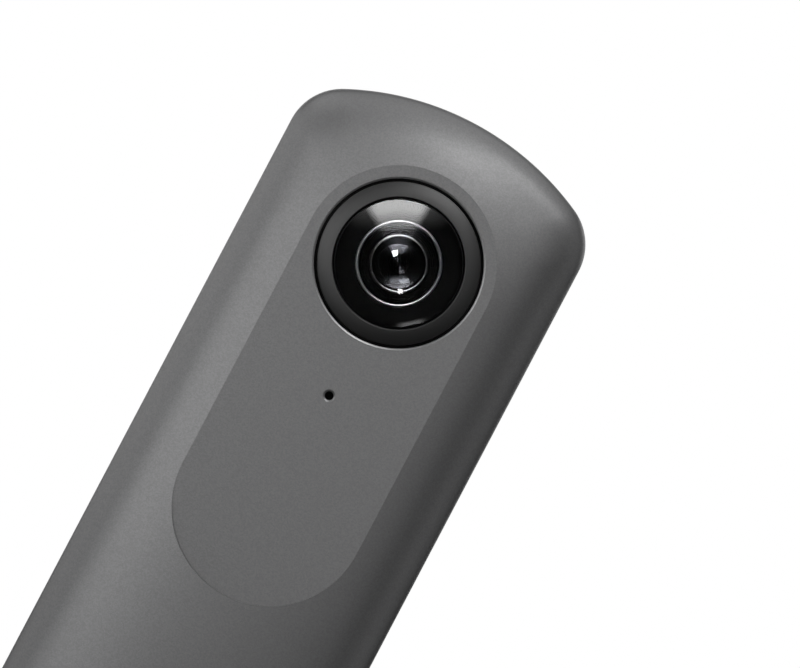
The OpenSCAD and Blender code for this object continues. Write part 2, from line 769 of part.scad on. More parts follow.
module memory_chip() {
  color("#202124") box([can_x - chip_rim - memory_w, can_x - chip_rim],
    [board_face, board_face + memory_t], [can_mid - memory_h / 2, can_mid + memory_h / 2]);
}

module heat_spreader() {
  color("#b0b2b5") difference() {
    box([-can_x, can_x], [board_face + can_t, board_face + can_t + spreader_t],
      [can_z0, can_z1]);
    for (x = [-can_x - cut, can_x - spreader_notch], z = [can_z0 - cut, can_z1 - spreader_notch])
      box([x, x + spreader_notch + cut], [0, pad_y], [z, z + spreader_notch + cut]);
  }
}

module battery() {
  y0 = -battery_y - battery_t;
  color("#30343a") {
    box([-battery_x, battery_x], [y0, -battery_y], [battery_z0, battery_z1 - terminal_h]);
    box([terminal_in - battery_x, battery_x - terminal_in], [y0 + terminal_y, -battery_y - terminal_y],
      [battery_z1 - terminal_h, battery_z1]);
  }
}

module battery_tape() {
  color("#d8d4c4") box([2 - battery_x, battery_x - 2], [-battery_y, -plate_y],
    [battery_z0 + 3, battery_z1 - 6]);
}

// Radio board on the chassis in front, which also carries the front microphone
module front_board() {
  color("#1c4a2e") difference() {
    box([-battery_x, battery_x], [-plate_y - board_t, -plate_y], [front_board_z0, board_z1]);
    for (s = [-1, 1])
      y_cyl(post_screw_r + 0.4, -plate_y - board_t - cut, 0, s * high_post[0], high_post[1]);
  }
}

function usb_outline(w, h) = [[-w / 2, h], [w / 2, h], [w / 2, h * 0.42], [w / 2 - h * 0.4, 0],
  [h * 0.4 - w / 2, 0], [-w / 2, h * 0.42]];

module usb_socket() {
  color("#c3c5c8") translate([-port_x, usb_y, 0]) {
    difference() {
      translate([0, 0, usb_z0]) linear_extrude(usb_z1 - usb_z0) polygon(usb_outline(usb_w, usb_h));
      translate([0, usb_wall, usb_z0 - cut]) linear_extrude(usb_z1 - usb_z0 + cut - usb_wall)
        polygon(usb_outline(usb_w - 2 * usb_wall, usb_h - 2 * usb_wall));
    }
    box([-1.9, 1.9], [usb_h - usb_wall - 1, usb_h - usb_wall - 0.45], [usb_z0 + 0.8, usb_z1 - usb_wall]);
  }
}

module mic_jack() {
  color("#232426") difference() {
    union() {
      box([port_x - jack_wid / 2, port_x + jack_wid / 2], [board_y - jack_back, board_y],
        [plate_t + 0.2, jack_z1]);
      translate([port_x, jack_y, 0.1]) cylinder(r = jack_collar_r, h = plate_t + 1);
    }
    translate([port_x, jack_y, 0.1 - cut]) cylinder(r = jack_r, h = jack_depth + cut);
  }
}

module speaker() {
  color("#2c2d30") box([-speaker_x[1], -speaker_x[0]], [-speaker_y, -plate_y],
    [speaker_z - speaker_len / 2, speaker_z + speaker_len / 2]);
}

module microphones() {
  color("#c9b36a") {
    box([-mic_s / 2, mic_s / 2], [board_face, board_face + mic_t], [mic_z - mic_s / 2, mic_z + mic_s / 2]);
    box([-mic_s / 2, mic_s / 2], [-plate_y - board_t - mic_t, -plate_y - board_t],
      [mic_z - mic_s / 2, mic_z + mic_s / 2]);
    for (t = [0, 180]) rotate([0, 0, t]) box([side_mic_x, side_mic_x + mic_t], [-mic_s / 2, mic_s / 2],
      [side_mic_z - mic_s / 2, side_mic_z + mic_s / 2]);
  }
}

module boot(len) {
  difference() {
    cylinder(r = boot_r, h = len);
    translate([0, 0, -cut]) cylinder(r = mic_hole_r, h = len + 2 * cut);
  }
}

module mic_boots() {
  rear_y = board_face + mic_t;
  front_y = plate_y + board_t + mic_t;
  reach = inner_y(boot_r) - 0.05;
  side_x = side_mic_x + mic_t;
  color("#1b1b1c") {
    translate([0, rear_y, mic_z]) rotate([-90, 0, 0]) boot(reach - rear_y);
    translate([0, -front_y, mic_z]) rotate([90, 0, 0]) boot(reach - front_y);
    for (t = [0, 180]) rotate([0, 0, t]) translate([side_x, 0, side_mic_z]) rotate([0, 90, 0])
      boot(inner_x(boot_r) - 0.15 - side_x);
  }
}

module side_board() {
  color("#1c4a2e") box([side_board_x - side_board_t, side_board_x], [-side_board_y, side_board_y],
    [side_mid_z - side_board_h, side_mid_z + side_board_h]);
}

module side_switches() {
  color("#3b3c3f") for (i = [-1 : 1]) difference() {
    box([side_board_x, side_switch_x], [-1.8, 1.8],
      [side_mid_z + i * side_pitch - 1.8, side_mid_z + i * side_pitch + 1.8]);
    x_cyl(side_stem_r + slide_gap, side_stem_end - side_travel - slide_gap, side_switch_x + cut, 0,
      side_mid_z + i * side_pitch);
  }
}

module shutter_switch() {
  color("#3b3c3f") difference() {
    box([-2.5, 2.5], [board_face, shutter_switch_y], [pad_low_z - 2.5, pad_low_z + 2.5]);
    y_cyl(shutter_stem_r + slide_gap, shutter_stem_end - shutter_travel - slide_gap, shutter_switch_y + cut,
      0, pad_low_z);
  }
}

module lamp_spots() {
  translate([0, 0, status_z]) children();
  for (i = [-1 : 1]) translate([i * lamp_pitch, 0, lamp_z]) children();
}

module indicator_leds() {
  color("#e6e2c8") lamp_spots() box([-0.8, 0.8], [board_face, board_face + led_h], [-0.5, 0.5]);
}

module light_pipes() {
  color("#dfe3e6") {
    y_cyl(pipe_r, board_face + led_h + 0.1, pad_y - 0.05, 0, status_z);
    for (i = [-1 : 1])
      y_cyl(pipe_r, board_face + led_h + 0.1, outer_y(lamp_pitch + pipe_r) - 0.05, i * lamp_pitch, lamp_z);
  }
}

module shutter_button() {
  color("#5c5c5e") {
    y_cyl(shutter_r, shutter_flange_y - 0.1, shutter_face, 0, pad_low_z);
    y_cyl(shutter_flange_r, shutter_flange_y - shutter_flange_t, shutter_flange_y, 0, pad_low_z);
    y_cyl(shutter_stem_r, shutter_stem_end, shutter_flange_y - shutter_flange_t + 0.1, 0, pad_low_z);
  }
}

module side_button(z) {
  color("#4a4a4c") {
    pill_x(side_wid / 2, side_len / 2, side_flange_x - 0.1, side_face, z);
    box([side_flange_x - side_flange_t, side_flange_x], [-side_wid / 2 - 0.7, side_wid / 2 + 0.7],
      [z - side_len / 2 - 0.7, z + side_len / 2 + 0.7]);
    x_cyl(side_stem_r, side_stem_end, side_flange_x - side_flange_t + 0.1, 0, z);
  }
}

module power_button() { side_button(side_mid_z + side_pitch); }
module wireless_button() { side_button(side_mid_z); }
module mode_button() { side_button(side_mid_z - side_pitch); }

front_shell();
rear_shell();
bottom_plate();
chassis();
tripod_socket();
bottom_screws();
chassis_screws();
front_lens_ring();
rear_lens_ring();
front_lens_seal();
rear_lens_seal();
front_lens_barrel();
rear_lens_barrel();
front_dome_lens();
rear_dome_lens();
front_retainer_ring();
rear_retainer_ring();
front_second_lens();
rear_second_lens();
front_inner_ring();
rear_inner_ring();
front_third_lens();
rear_third_lens();
lens_housing();
front_prism();
rear_prism();
left_relay_cell();
right_relay_cell();
left_relay_lens();
right_relay_lens();
left_image_sensor();
right_image_sensor();
left_sensor_board();
right_sensor_board();
sensor_flexes();
lens_unit_screws();
main_board();
board_screws();
shield_can();
processor();
memory_chip();
heat_spreader();
battery();
battery_tape();
front_board();
usb_socket();
mic_jack();
speaker();
microphones();
mic_boots();
side_board();
side_switches();
shutter_switch();
indicator_leds();
light_pipes();
shutter_button();
power_button();
wireless_button();
mode_button();
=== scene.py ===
# %% [markdown]
# A slim camera that looks both ways: a flat grey bar with one domed lens on each face.
# The imported CAD model is loaded first as a fixed frame, so every new piece is drawn in the
# same place as the solid it stands for.

# %% Load the frame
import bpy
import bmesh
import math
from mathutils import Matrix, Vector


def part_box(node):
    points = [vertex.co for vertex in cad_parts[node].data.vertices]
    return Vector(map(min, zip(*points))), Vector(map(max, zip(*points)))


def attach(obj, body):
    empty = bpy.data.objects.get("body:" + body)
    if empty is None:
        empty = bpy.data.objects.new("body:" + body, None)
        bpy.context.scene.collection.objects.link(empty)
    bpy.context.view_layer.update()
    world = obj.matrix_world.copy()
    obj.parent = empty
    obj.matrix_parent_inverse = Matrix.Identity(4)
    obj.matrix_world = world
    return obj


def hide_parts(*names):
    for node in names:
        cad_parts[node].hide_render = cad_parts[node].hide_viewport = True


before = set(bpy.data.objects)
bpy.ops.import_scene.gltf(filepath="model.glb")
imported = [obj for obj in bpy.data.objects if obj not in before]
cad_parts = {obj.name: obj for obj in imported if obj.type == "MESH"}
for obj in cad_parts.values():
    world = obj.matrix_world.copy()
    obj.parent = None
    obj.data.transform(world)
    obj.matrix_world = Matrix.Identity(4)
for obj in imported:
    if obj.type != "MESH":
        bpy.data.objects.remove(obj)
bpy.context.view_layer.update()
scene = bpy.context.scene

# %% [markdown]
# The sizes are in millimetres, as a maker would read them off a drawing. Each shape is drawn
# in millimetres and shrunk to metres when it becomes a piece. The front face looks along -Y,
# +Z runs up to the lens end, and the lens axis crosses the middle plane at LENS_Z.

# %% Main sizes
MM = 0.001
TINY = 1e-4  # points nearer than this are one point
HALF_WIDTH = 22.6
CROWN = 8.75  # from the middle plane to a face, at the base
LENS_Z = 108.4
CREST = 22.2  # from the lens axis to the top
PAD_RADIUS = 13.55
PAD_FACE = 8.43
PAD_LOW_Z = 70.3  # centre of the pad's round lower end
print("body", 2 * HALF_WIDTH, "x", LENS_Z + CREST, "mm, lens axis at", LENS_Z)

# %% [markdown]
# Moulded plastic, glass and metal all have a fine grain, so the grain is one node group that
# many finishes use with their own values: a noise whose tone shifts colour and roughness, and
# whose height feeds a bump. A picture of grain would need an unwrapped mesh; noise on Object
# coordinates has no seams and stays on the piece.

# %% Grain group
def node_group(name, control, outputs):
    tree = bpy.data.node_groups.new(name, "ShaderNodeTree")
    for label, way in [(control, "INPUT")] + [(label, "OUTPUT") for label in outputs]:
        tree.interface.new_socket(name=label, in_out=way, socket_type="NodeSocketFloat")
    return tree, tree.nodes.new("NodeGroupInput"), tree.nodes.new("NodeGroupOutput")


def add_node(tree, kind, links=(), **settings):
    """Adds a node. Each input named in links is linked to a socket or set to a value."""
    node = tree.nodes.new("ShaderNode" + kind)
    for key, value in settings.items():
        setattr(node, key, value)
    for socket, source in links:
        if hasattr(source, "links"):
            tree.links.new(source, node.inputs[socket])
        else:
            node.inputs[socket].default_value = source
    return node


def stretch(tree, value, low, high, to_low=0.0, to_high=1.0, **kind):
    ends = (("From Min", low), ("From Max", high), ("To Min", to_low), ("To Max", to_high))
    return add_node(tree, "MapRange", (("Value", value), *ends), **kind).outputs["Result"]


def maths(tree, operation, *values):
    return add_node(tree, "Math", enumerate(values), operation=operation).outputs[0]


NOISE_RANGE = (0.25, 0.75)
FINE_SHARE, BROAD_SHARE = 0.7, 0.3
BROAD_SCALE = 90.0
grain, grain_in, grain_out = node_group("fine grain", "Scale", ["Tone", "Height"])
place = add_node(grain, "TexCoord").outputs["Object"]
fine = add_node(grain, "TexNoise", [("Vector", place), ("Scale", grain_in.outputs["Scale"]),
                                    ("Detail", 2.0), ("Roughness", 0.6)]).outputs["Fac"]
broad = add_node(grain, "TexNoise", [("Vector", place), ("Scale", BROAD_SCALE),
                                     ("Detail", 3.0)]).outputs["Fac"]
both = maths(grain, "ADD", stretch(grain, fine, *NOISE_RANGE, 0.0, FINE_SHARE),
             stretch(grain, broad, *NOISE_RANGE, 0.0, BROAD_SHARE))
grain.links.new(both, grain_out.inputs["Tone"])
grain.links.new(fine, grain_out.inputs["Height"])
print("group:", grain.name)

# %% [markdown]
# Machined rings keep very fine turning marks. They are far too fine to model, so a second group
# draws them: rings around the lens axis, from the distance to that axis. A Mapping node in the
# material turns the pattern for pieces whose axis is upright.

# %% Turning marks group
marks, marks_in, marks_out = node_group("turning marks", "Pitch", ["Tone", "Height"])
marks.interface.new_socket(name="Place", in_out="INPUT", socket_type="NodeSocketVector")
split = add_node(marks, "SeparateXYZ", [(0, marks_in.outputs["Place"])])
across = add_node(marks, "CombineXYZ", [(axis, split.outputs[axis]) for axis in "XZ"])
reach = add_node(marks, "VectorMath", [(0, across.outputs[0])], operation="LENGTH")
grooves = add_node(marks, "TexNoise", [("W", reach.outputs["Value"]), ("Detail", 2.0),
                                       ("Scale", marks_in.outputs["Pitch"])],
                   noise_dimensions="1D").outputs["Fac"]
marks.links.new(stretch(marks, grooves, 0.3, 0.7), marks_out.inputs["Tone"])
marks.links.new(grooves, marks_out.inputs["Height"])
print("group:", marks.name)

# %% [markdown]
# The grey paint has metal flakes in it. Each cell of a Voronoi texture is one flake with its
# own random tone, which a smooth noise could not give.

# %% Flake group
flakes, flakes_in, flakes_out = node_group("paint flakes", "Scale", ["Tone"])
place = add_node(flakes, "TexCoord").outputs["Object"]
cells = add_node(flakes, "TexVoronoi", [("Vector", place), ("Scale", flakes_in.outputs["Scale"])])
pick = add_node(flakes, "SeparateColor", [(0, cells.outputs["Color"])])
flakes.links.new(pick.outputs["Red"], flakes_out.inputs["Tone"])
print("group:", flakes.name)

# %% [markdown]
# One helper turns those groups into a finish: two close colours mixed by the tone, a small
# range of roughness and a bump. What is the same all over the surface, such as metallic or
# the refractive index, is set on the shader itself.

# %% Finish helper
BUMP_DEPTH = 0.01 * MM
COOL = 1.01  # the share of blue in a neutral grey
LENS_TURN = ((0, 0, -LENS_Z * MM), (0, 0, 0))
UPRIGHT_TURN = ((0, 0, 0), (math.radians(90), 0, 0))
FINISHES = {}


def shade(colour):
    """A colour with its alpha; a plain number stands for a neutral grey."""
    return (*colour, 1) if isinstance(colour, tuple) else (colour, colour, colour * COOL, 1)


def finish(name, dark, light, rough, group=grain, scale=4000.0, bump=0.0, turn=None, **shader):
    material = FINISHES[name] = bpy.data.materials.new(name)
    material.use_nodes = True
    tree = material.node_tree
    surface = tree.nodes["Principled BSDF"]
    effect = tree.nodes.new("ShaderNodeGroup")
    effect.node_tree = group
    effect.inputs[0].default_value = scale
    if group is marks:
        place = add_node(tree, "TexCoord").outputs["Object"]
        centred = add_node(tree, "Mapping", [("Vector", place), ("Location", turn[0]),
                                             ("Rotation", turn[1])])
        tree.links.new(centred.outputs[0], effect.inputs["Place"])
    tone = effect.outputs["Tone"]
    colour = add_node(tree, "Mix", [("Factor", tone)], data_type="RGBA")
    for socket, value in zip([i for i in colour.inputs if i.type == "RGBA"], (dark, light)):
        socket.default_value = shade(value)
    mixed = next(o for o in colour.outputs if o.type == "RGBA")
    tree.links.new(mixed, surface.inputs["Base Color"])
    tree.links.new(stretch(tree, tone, 0.0, 1.0, *rough), surface.inputs["Roughness"])
    if bump:
        rise = add_node(tree, "Bump", [("Height", effect.outputs["Height"]), ("Strength", bump),
                                       ("Distance", BUMP_DEPTH)])
        tree.links.new(rise.outputs["Normal"], surface.inputs["Normal"])
    for socket, value in shader.items():
        surface.inputs[socket.replace("_", " ")].default_value = value


print("groups to use:", len(bpy.data.node_groups))

# %% [markdown]
# The paint is the surface that shows most. It is satin, a little metallic, and neutral grey.
# The flakes move its colour by a few hundredths and its roughness by a little, so it looks
# plain from far away and alive from near by. The lip of the lens opening is bare metal, cut after
# painting; its lighter colour is partly a painted highlight, since the ring shades the lip from
# the lamps.

# %% Paints
FLAKE_SCALE = 6000.0
for slot, dark, light, rough, metallic in (
        ("shell_paint", 0.138, 0.162, (0.46, 0.42), 0.8),
        # the cut lip: bare metal, with a lighter colour that is partly a painted highlight
        ("cut_edge", 0.25, 0.29, (0.44, 0.38), 0.9),
        ("button_paint", 0.12, 0.145, (0.46, 0.40), 0.8)):
    finish(slot, dark, light, rough, flakes, FLAKE_SCALE, Metallic=metallic)
print("paints:", len(FINISHES))

# %% [markdown]
# The black pieces differ by their gloss: the ring is satin anodised metal with turning marks,
# the barrel behind the glass and the blackened edge of the glass are dead matte, so that they
# swallow stray light, and the seal is rubber.

# %% Blacks and plastics
finish("ring_black", 0.004, 0.007, (0.40, 0.34), marks, 9000.0, 0.05, LENS_TURN)
for slot, dark, light, rough, bump, shine in (
        ("barrel_black", 0.003, 0.006, (0.75, 0.65), 0.1, 0.1),
        ("edge_black", 0.0015, 0.0035, (0.75, 0.65), 0.1, 0.1),
        ("seal_rubber", 0.003, 0.006, (0.92, 0.82), 0.2, 0.2),
        ("base_plastic", 0.020, 0.028, (0.62, 0.52), 0.25, 0.5),
        ("part_black", 0.014, 0.020, (0.60, 0.48), 0.15, 0.5),
        ("chip_black", 0.012, 0.018, (0.55, 0.45), 0.1, 0.5)):
    finish(slot, dark, light, rough, bump=bump, Specular_IOR_Level=shine)
print("finishes:", len(FINISHES))

# %% [markdown]
# The bright parts are plain metals. Turned pieces get turning marks, sheet and screws get the
# grain.

# %% Metals
for slot, dark, light, rough, bump, turn in (
        ("bright_metal", 0.78, 0.88, (0.34, 0.28), 0.03, LENS_TURN),
        ("inner_metal", 0.50, 0.60, (0.26, 0.20), 0.03, LENS_TURN),
        ("socket_metal", (0.52, 0.50, 0.45), (0.60, 0.58, 0.53), (0.34, 0.26), 0.05, UPRIGHT_TURN)):
    finish(slot, dark, light, rough, marks, bump=bump, turn=turn, Metallic=1.0)
for slot, dark, light, rough, bump in (
        ("chassis_metal", 0.27, 0.33, (0.55, 0.45), 0.08),
        ("housing_metal", 0.035, 0.05, (0.5, 0.4), 0.08),
        ("screw_steel", 0.10, 0.14, (0.42, 0.32), 0.08),
        ("shield_steel", 0.50, 0.58, (0.36, 0.28), 0.08),
        ("spreader_metal", 0.40, 0.46, (0.4, 0.3), 0.08),
        ("mic_metal", 0.03, 0.05, (0.55, 0.45), 0.0)):
    finish(slot, dark, light, rough, bump=bump, Metallic=1.0)
print("finishes:", len(FINISHES))

# %% [markdown]
# Glass is clear, with the refractive index of optical glass and a roughness near zero, so that
# reflections are sharp. The hollow back of the front glass and the inner elements have a coat: a
# dark specular tint takes most of their reflections away.

# %% Glass and the hidden finishes
CLEAR = {"scale": 60.0, "IOR": 1.52, "Transmission_Weight": 1.0}
PALE, WHITE = (0.97, 0.98, 0.99), (1.0, 1.0, 1.0)
for slot, rough, tint in (
        ("dome_glass", (0.0, 0.012), WHITE), ("prism_glass", (0.0, 0.02), WHITE),
        ("coated_glass", (0.0, 0.012), (0.12, 0.12, 0.132)),
        ("element_glass", (0.03, 0.06), (0.45, 0.45, 0.495))):
    finish(slot, PALE, WHITE, rough, Specular_Tint=shade(tint), **CLEAR)
for slot, dark, light, rough in (
        ("sensor_face", (0.008, 0.022, 0.014), (0.012, 0.030, 0.020), (0.2, 0.1)),
        ("circuit_board", (0.008, 0.060, 0.022), (0.012, 0.075, 0.030), (0.5, 0.4)),
        ("flat_cable", (0.30, 0.11, 0.015), (0.36, 0.14, 0.02), (0.5, 0.4)),
        ("battery_wrap", (0.028, 0.032, 0.042), (0.036, 0.040, 0.052), (0.45, 0.3)),
        ("tape_white", (0.64, 0.61, 0.52), (0.70, 0.67, 0.58), (0.7, 0.6))):
    finish(slot, dark, light, rough, bump=0.08)
finish("lamp_clear", 0.66, 0.78, (0.34, 0.26), scale=3000.0, bump=0.1, Transmission_Weight=0.4,
       IOR=1.49)
print("finishes:", len(FINISHES))

# %% [markdown]
# A shape becomes a piece here: doubled points are merged, faces turned outwards, millimetres
# shrunk to metres, and only edges sharper than an angle stay sharp. Then it is hung on the body
# it moves with and takes its finishes, and the CAD node it stands for is hidden.

# %% Make a piece
def as_mesh(shape, name):
    mesh = bpy.data.meshes.new(name)
    shape.to_mesh(mesh)
    shape.free()
    return mesh


def add_object(name, data):
    thing = bpy.data.objects.new(name, data)
    scene.collection.objects.link(thing)
    return thing


def face_out(shape):
    bmesh.ops.recalc_face_normals(shape, faces=shape.faces)
    return shape


def add_piece(shape, name, slot, node, body="camera", sharp=30, recalc=True, extra=()):
    bmesh.ops.remove_doubles(shape, verts=shape.verts, dist=TINY)
    if recalc:
        face_out(shape)
    bmesh.ops.scale(shape, vec=(MM, MM, MM), verts=shape.verts)
    mesh = as_mesh(shape, name)
    mesh.shade_smooth()
    mesh.set_sharp_from_angle(angle=math.radians(sharp))
    for look in (slot, *extra):
        mesh.materials.append(FINISHES[look])
    piece = add_object(name, mesh)
    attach(piece, body)
    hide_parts(node)
    print("piece", name, len(mesh.polygons), "faces")


print("finishes to choose from:", len(FINISHES))

# %% [markdown]
# Most lens parts are turned on a lathe, and Blender's lathe is the spin operator: half of the
# section is drawn as a line of points and swept once around the axis. Corners can be rounded
# first by bevelling points of that line. A turned shape is drawn along +Z, then laid onto the
# lens axis for the front or the rear.

# %% Turned shapes
FACES = {"front": 0, "rear": 180}


def rounded(shape, geom, radius, segments, affect="EDGES"):
    bmesh.ops.bevel(shape, geom=geom, offset=radius, offset_type="OFFSET", segments=segments,
                    profile=0.5, affect=affect, material=-1)


def turned(outline, rounds=None, steps=160):
    """Sweeps half a section round the Z axis; a section that starts off the axis is closed."""
    shape = bmesh.new()
    line = [shape.verts.new((r, 0, z)) for r, z in outline]
    ends = line[1:] + (line[:1] if outline[0][0] > 0 else [])
    for pair in zip(line, ends):
        shape.edges.new(pair)
    for i, radius in (rounds or {}).items():
        rounded(shape, [line[i]], radius, 4, "VERTICES")
    bmesh.ops.spin(shape, geom=shape.verts[:] + shape.edges[:], cent=(0, 0, 0), axis=(0, 0, 1),
                   angle=2 * math.pi, steps=steps, use_merge=True)
    bmesh.ops.remove_doubles(shape, verts=shape.verts, dist=TINY)
    return face_out(shape)


def rod(radius, low, high, steps, rounds=None):
    return turned([(0, low), (radius, low), (radius, high), (0, high)], rounds, steps)


def spun(degrees, axis):
    return Matrix.Rotation(math.radians(degrees), 4, axis)


def facing(turn, x=0.0, z=LENS_Z):
    """Lays a shape drawn along +Z onto -Y; a turn of 90 makes that +X, and 180 makes it +Y."""
    return Matrix.Translation((x, 0, z)) @ spun(turn, "Z") @ spun(90, "X")


def placed(shape, matrix):
    bmesh.ops.transform(shape, matrix=matrix, verts=shape.verts)
    return shape


def moved(shape, x=0.0, y=0.0, z=0.0):
    return placed(shape, Matrix.Translation((x, y, z)))


print("lathe ready")

# %% [markdown]
# Holes and joins are made with Blender's Boolean modifier, since cutting curved walls face by
# face is long work. The helper lends two shapes to temporary objects and takes the result back.
# Cutters that don't touch are gathered first, so one cut makes many holes.

# %% Join and cut
def gather(shapes):
    whole = bmesh.new()
    for shape in shapes:
        mesh = as_mesh(shape, "part")
        whole.from_mesh(mesh)
        bpy.data.meshes.remove(mesh)
    return whole


def combine(stock, tool, how):
    holders = [add_object("holder", as_mesh(shape, "holder")) for shape in (stock, tool)]
    step = holders[0].modifiers.new("join or cut", "BOOLEAN")
    step.operation, step.solver, step.object = how, "EXACT", holders[1]
    made = holders[0].evaluated_get(bpy.context.evaluated_depsgraph_get())
    result = bmesh.new()
    result.from_mesh(made.to_mesh())
    made.to_mesh_clear()
    for holder in holders:
        mesh = holder.data
        bpy.data.objects.remove(holder)
        bpy.data.meshes.remove(mesh)
    return result


print("boolean helper ready")

# %% [markdown]
# The body is a crowned bar. Its level section is a rounded oblong, nearly flat on the faces and
# blunt at the sides. Points are spread by the angle the surface faces, so the tight curve at
# the sides gets as many facets as it needs. Where the two halves of the case meet, the section
# has a small notch, which becomes the fine seam all the way round.

# %% Section of the bar
SIDE_POWER, EDGE_POWER = 2.2, 3.5  # how flat the faces and how blunt the sides are
SEAM_Y, SEAM_DEPTH, SEAM_HALF = 3.6, 0.10, 0.07
FACETS = 60
HALVINGS = 60


def depth_at(x, width, crown):
    return crown * (1 - (x / width) ** SIDE_POWER) ** (1 / EDGE_POWER)


def width_at(y, width, crown):
    return width * (1 - (abs(y) / crown) ** EDGE_POWER) ** (1 / SIDE_POWER)


def x_facing(angle, width, crown):
    """Distance from the middle at which the crowned face has leaned over by an angle."""
    low, high = 0.0, width
    for _ in range(HALVINGS):
        x = (low + high) / 2
        share = x / width
        slope = (crown / width * SIDE_POWER / EDGE_POWER * share ** (SIDE_POWER - 1)
                 * (1 - share ** SIDE_POWER) ** (1 / EDGE_POWER - 1))
        low, high = (x, high) if slope < math.tan(angle) else (low, x)
    return x


def half_section(inset, facets, seam):
    width, crown = HALF_WIDTH - inset, CROWN - inset
    lean = [x_facing(math.radians(90 * i / facets), width, crown) for i in range(1, facets)]
    front = [(0.0, -crown)] + [(x, -depth_at(x, width, crown)) for x in lean]
    rear = [(x, -y) for x, y in reversed(front)]
    if seam:
        rear = [p for p in rear if abs(p[1] - SEAM_Y) > 2 * SEAM_HALF]
        notch = [(width_at(y, width, crown) - cut, y) for y, cut in
                 ((SEAM_Y - SEAM_HALF, 0), (SEAM_Y, SEAM_DEPTH), (SEAM_Y + SEAM_HALF, 0))]
        rear = sorted(rear + notch, key=lambda p: p[1])
    return front + [(width, 0.0)] + rear


print("section points:", len(half_section(0, FACETS, True)))

# %% [markdown]
# Seen from the front, the camera has straight sides, two round corners and a flat arch on top.
# The sweep that follows needs this outline as a distance from the lens axis at any angle.

# %% Outline from the front
TOP_RADIUS = 41.0
CORNER_RADIUS = 8.0


def outline_reach(angle, inset):
    """Distance from the lens axis to the outline; 0 is sideways and 90 degrees is up."""
    c, s = abs(math.cos(angle)), math.sin(angle)
    top = CREST - TOP_RADIUS
    corner_x = HALF_WIDTH - CORNER_RADIUS
    corner_z = top + math.sqrt((TOP_RADIUS - CORNER_RADIUS) ** 2 - corner_x ** 2)
    tip = math.atan2(corner_z - top, corner_x)
    corner = CORNER_RADIUS - inset
    arch_z, arch_x = corner_z + corner * math.sin(tip), corner_x + corner * math.cos(tip)
    if math.atan2(s, c) <= math.atan2(corner_z, HALF_WIDTH - inset):
        return (HALF_WIDTH - inset) / c
    if math.atan2(s, c) <= math.atan2(arch_z, arch_x):
        along = corner_x * c + corner_z * s
        return along + math.sqrt(along ** 2 - corner_x ** 2 - corner_z ** 2 + corner ** 2)
    return top * s + math.sqrt((top * s) ** 2 - top ** 2 + (TOP_RADIUS - inset) ** 2)


print("arch reach:", round(outline_reach(math.pi / 2, 0), 2), "mm")

# %% [markdown]
# The rounded top is the half section swept over the lens axis by half a turn, then drawn out to
# that outline. Around the pad nothing is drawn out, so the pad runs out flush all round. The open
# end is extruded down to the base and pulled in around the base edge. A box with bevelled edges
# would be quicker, but its corners would not flow into the arch.

# %% The bar
EDGE_STEPS = 18


def smooth(value, low, high):
    share = min(1.0, max(0.0, (value - low) / (high - low)))
    return share * share * (3 - 2 * share)


def only(kind, geom):
    return [g for g in geom if isinstance(g, kind)]


def bar(inset, floor, edge, facets, sweep, rows, seam=False):
    shape = bmesh.new()
    width, crown = HALF_WIDTH - inset, CROWN - inset
    line = [shape.verts.new((x, y, LENS_Z)) for x, y in half_section(inset, facets, seam)]
    for pair in zip(line, line[1:]):
        shape.edges.new(pair)
    bmesh.ops.spin(shape, geom=shape.verts[:] + shape.edges[:], cent=(0, 0, LENS_Z),
                   axis=(0, -1, 0), angle=math.pi, steps=sweep)
    for point in shape.verts:
        rise = point.co.z - LENS_Z
        spread = outline_reach(math.atan2(max(rise, 0.0), point.co.x), inset) / width - 1
        pull = 1 + spread * smooth(math.hypot(point.co.x, rise), PAD_RADIUS, width)
        point.co.x *= pull
        point.co.z = LENS_Z + rise * pull
    bmesh.ops.remove_doubles(shape, verts=shape.verts, dist=TINY)
    levels = [(LENS_Z + (floor + edge - LENS_Z) * i / rows, 0.0) for i in range(1, rows + 1)]
    turns = [math.radians(90 * i / EDGE_STEPS) for i in range(1, EDGE_STEPS + 1) if edge]
    levels += [(floor + edge * (1 - math.sin(b)), edge * (1 - math.cos(b))) for b in turns]
    ring = [e for e in shape.edges if e.is_boundary]
    drawn_in = 0.0
    for level, pull_in in levels:
        grown = bmesh.ops.extrude_edge_only(shape, edges=ring)["geom"]
        ring, points = only(bmesh.types.BMEdge, grown), only(bmesh.types.BMVert, grown)
        bmesh.ops.translate(shape, vec=(0, 0, level - points[0].co.z), verts=points)
        bmesh.ops.scale(shape, vec=((width - pull_in) / (width - drawn_in),
                                    (crown - pull_in) / (crown - drawn_in), 1), verts=points)
        drawn_in = pull_in
    bmesh.ops.edgeloop_fill(shape, edges=ring)
    return face_out(shape)


print("base edge:", EDGE_STEPS, "steps")

# %% [markdown]
# Both faces swell a little from the base to the lens end, while the sides keep their place, so
# points are lifted by their height and their distance from the middle plane. Then the bar is cut
# along the seam, and each half is closed again.

# %% Swell and halves
SWELL = 0.65
SWELL_FROM_Z = 8.0
FACE_FROM, FACE_FULL = SEAM_Y + 0.4, 7.2  # where the side turns into the face


def lift_at(z):
    """How far the middle of a face stands out at a height above the base."""
    return SWELL * smooth(z, SWELL_FROM_Z, PAD_LOW_Z)


def swell(shape):
    for point in shape.verts:
        lift = lift_at(point.co.z) * smooth(abs(point.co.y), FACE_FROM, FACE_FULL)
        point.co.y += math.copysign(lift, point.co.y)
    return shape


def half_of(shape, keep_front):
    side = 1 if keep_front else -1
    everything = shape.verts[:] + shape.edges[:] + shape.faces[:]
    bmesh.ops.bisect_plane(shape, geom=everything, dist=TINY, plane_co=(0, SEAM_Y, 0),
                           plane_no=(0, side, 0), clear_outer=True)
    bmesh.ops.edgeloop_fill(shape, edges=[e for e in shape.edges if e.is_boundary])
    return face_out(shape)


print("swell half way up:", round(lift_at(LENS_Z / 2), 2), "mm")

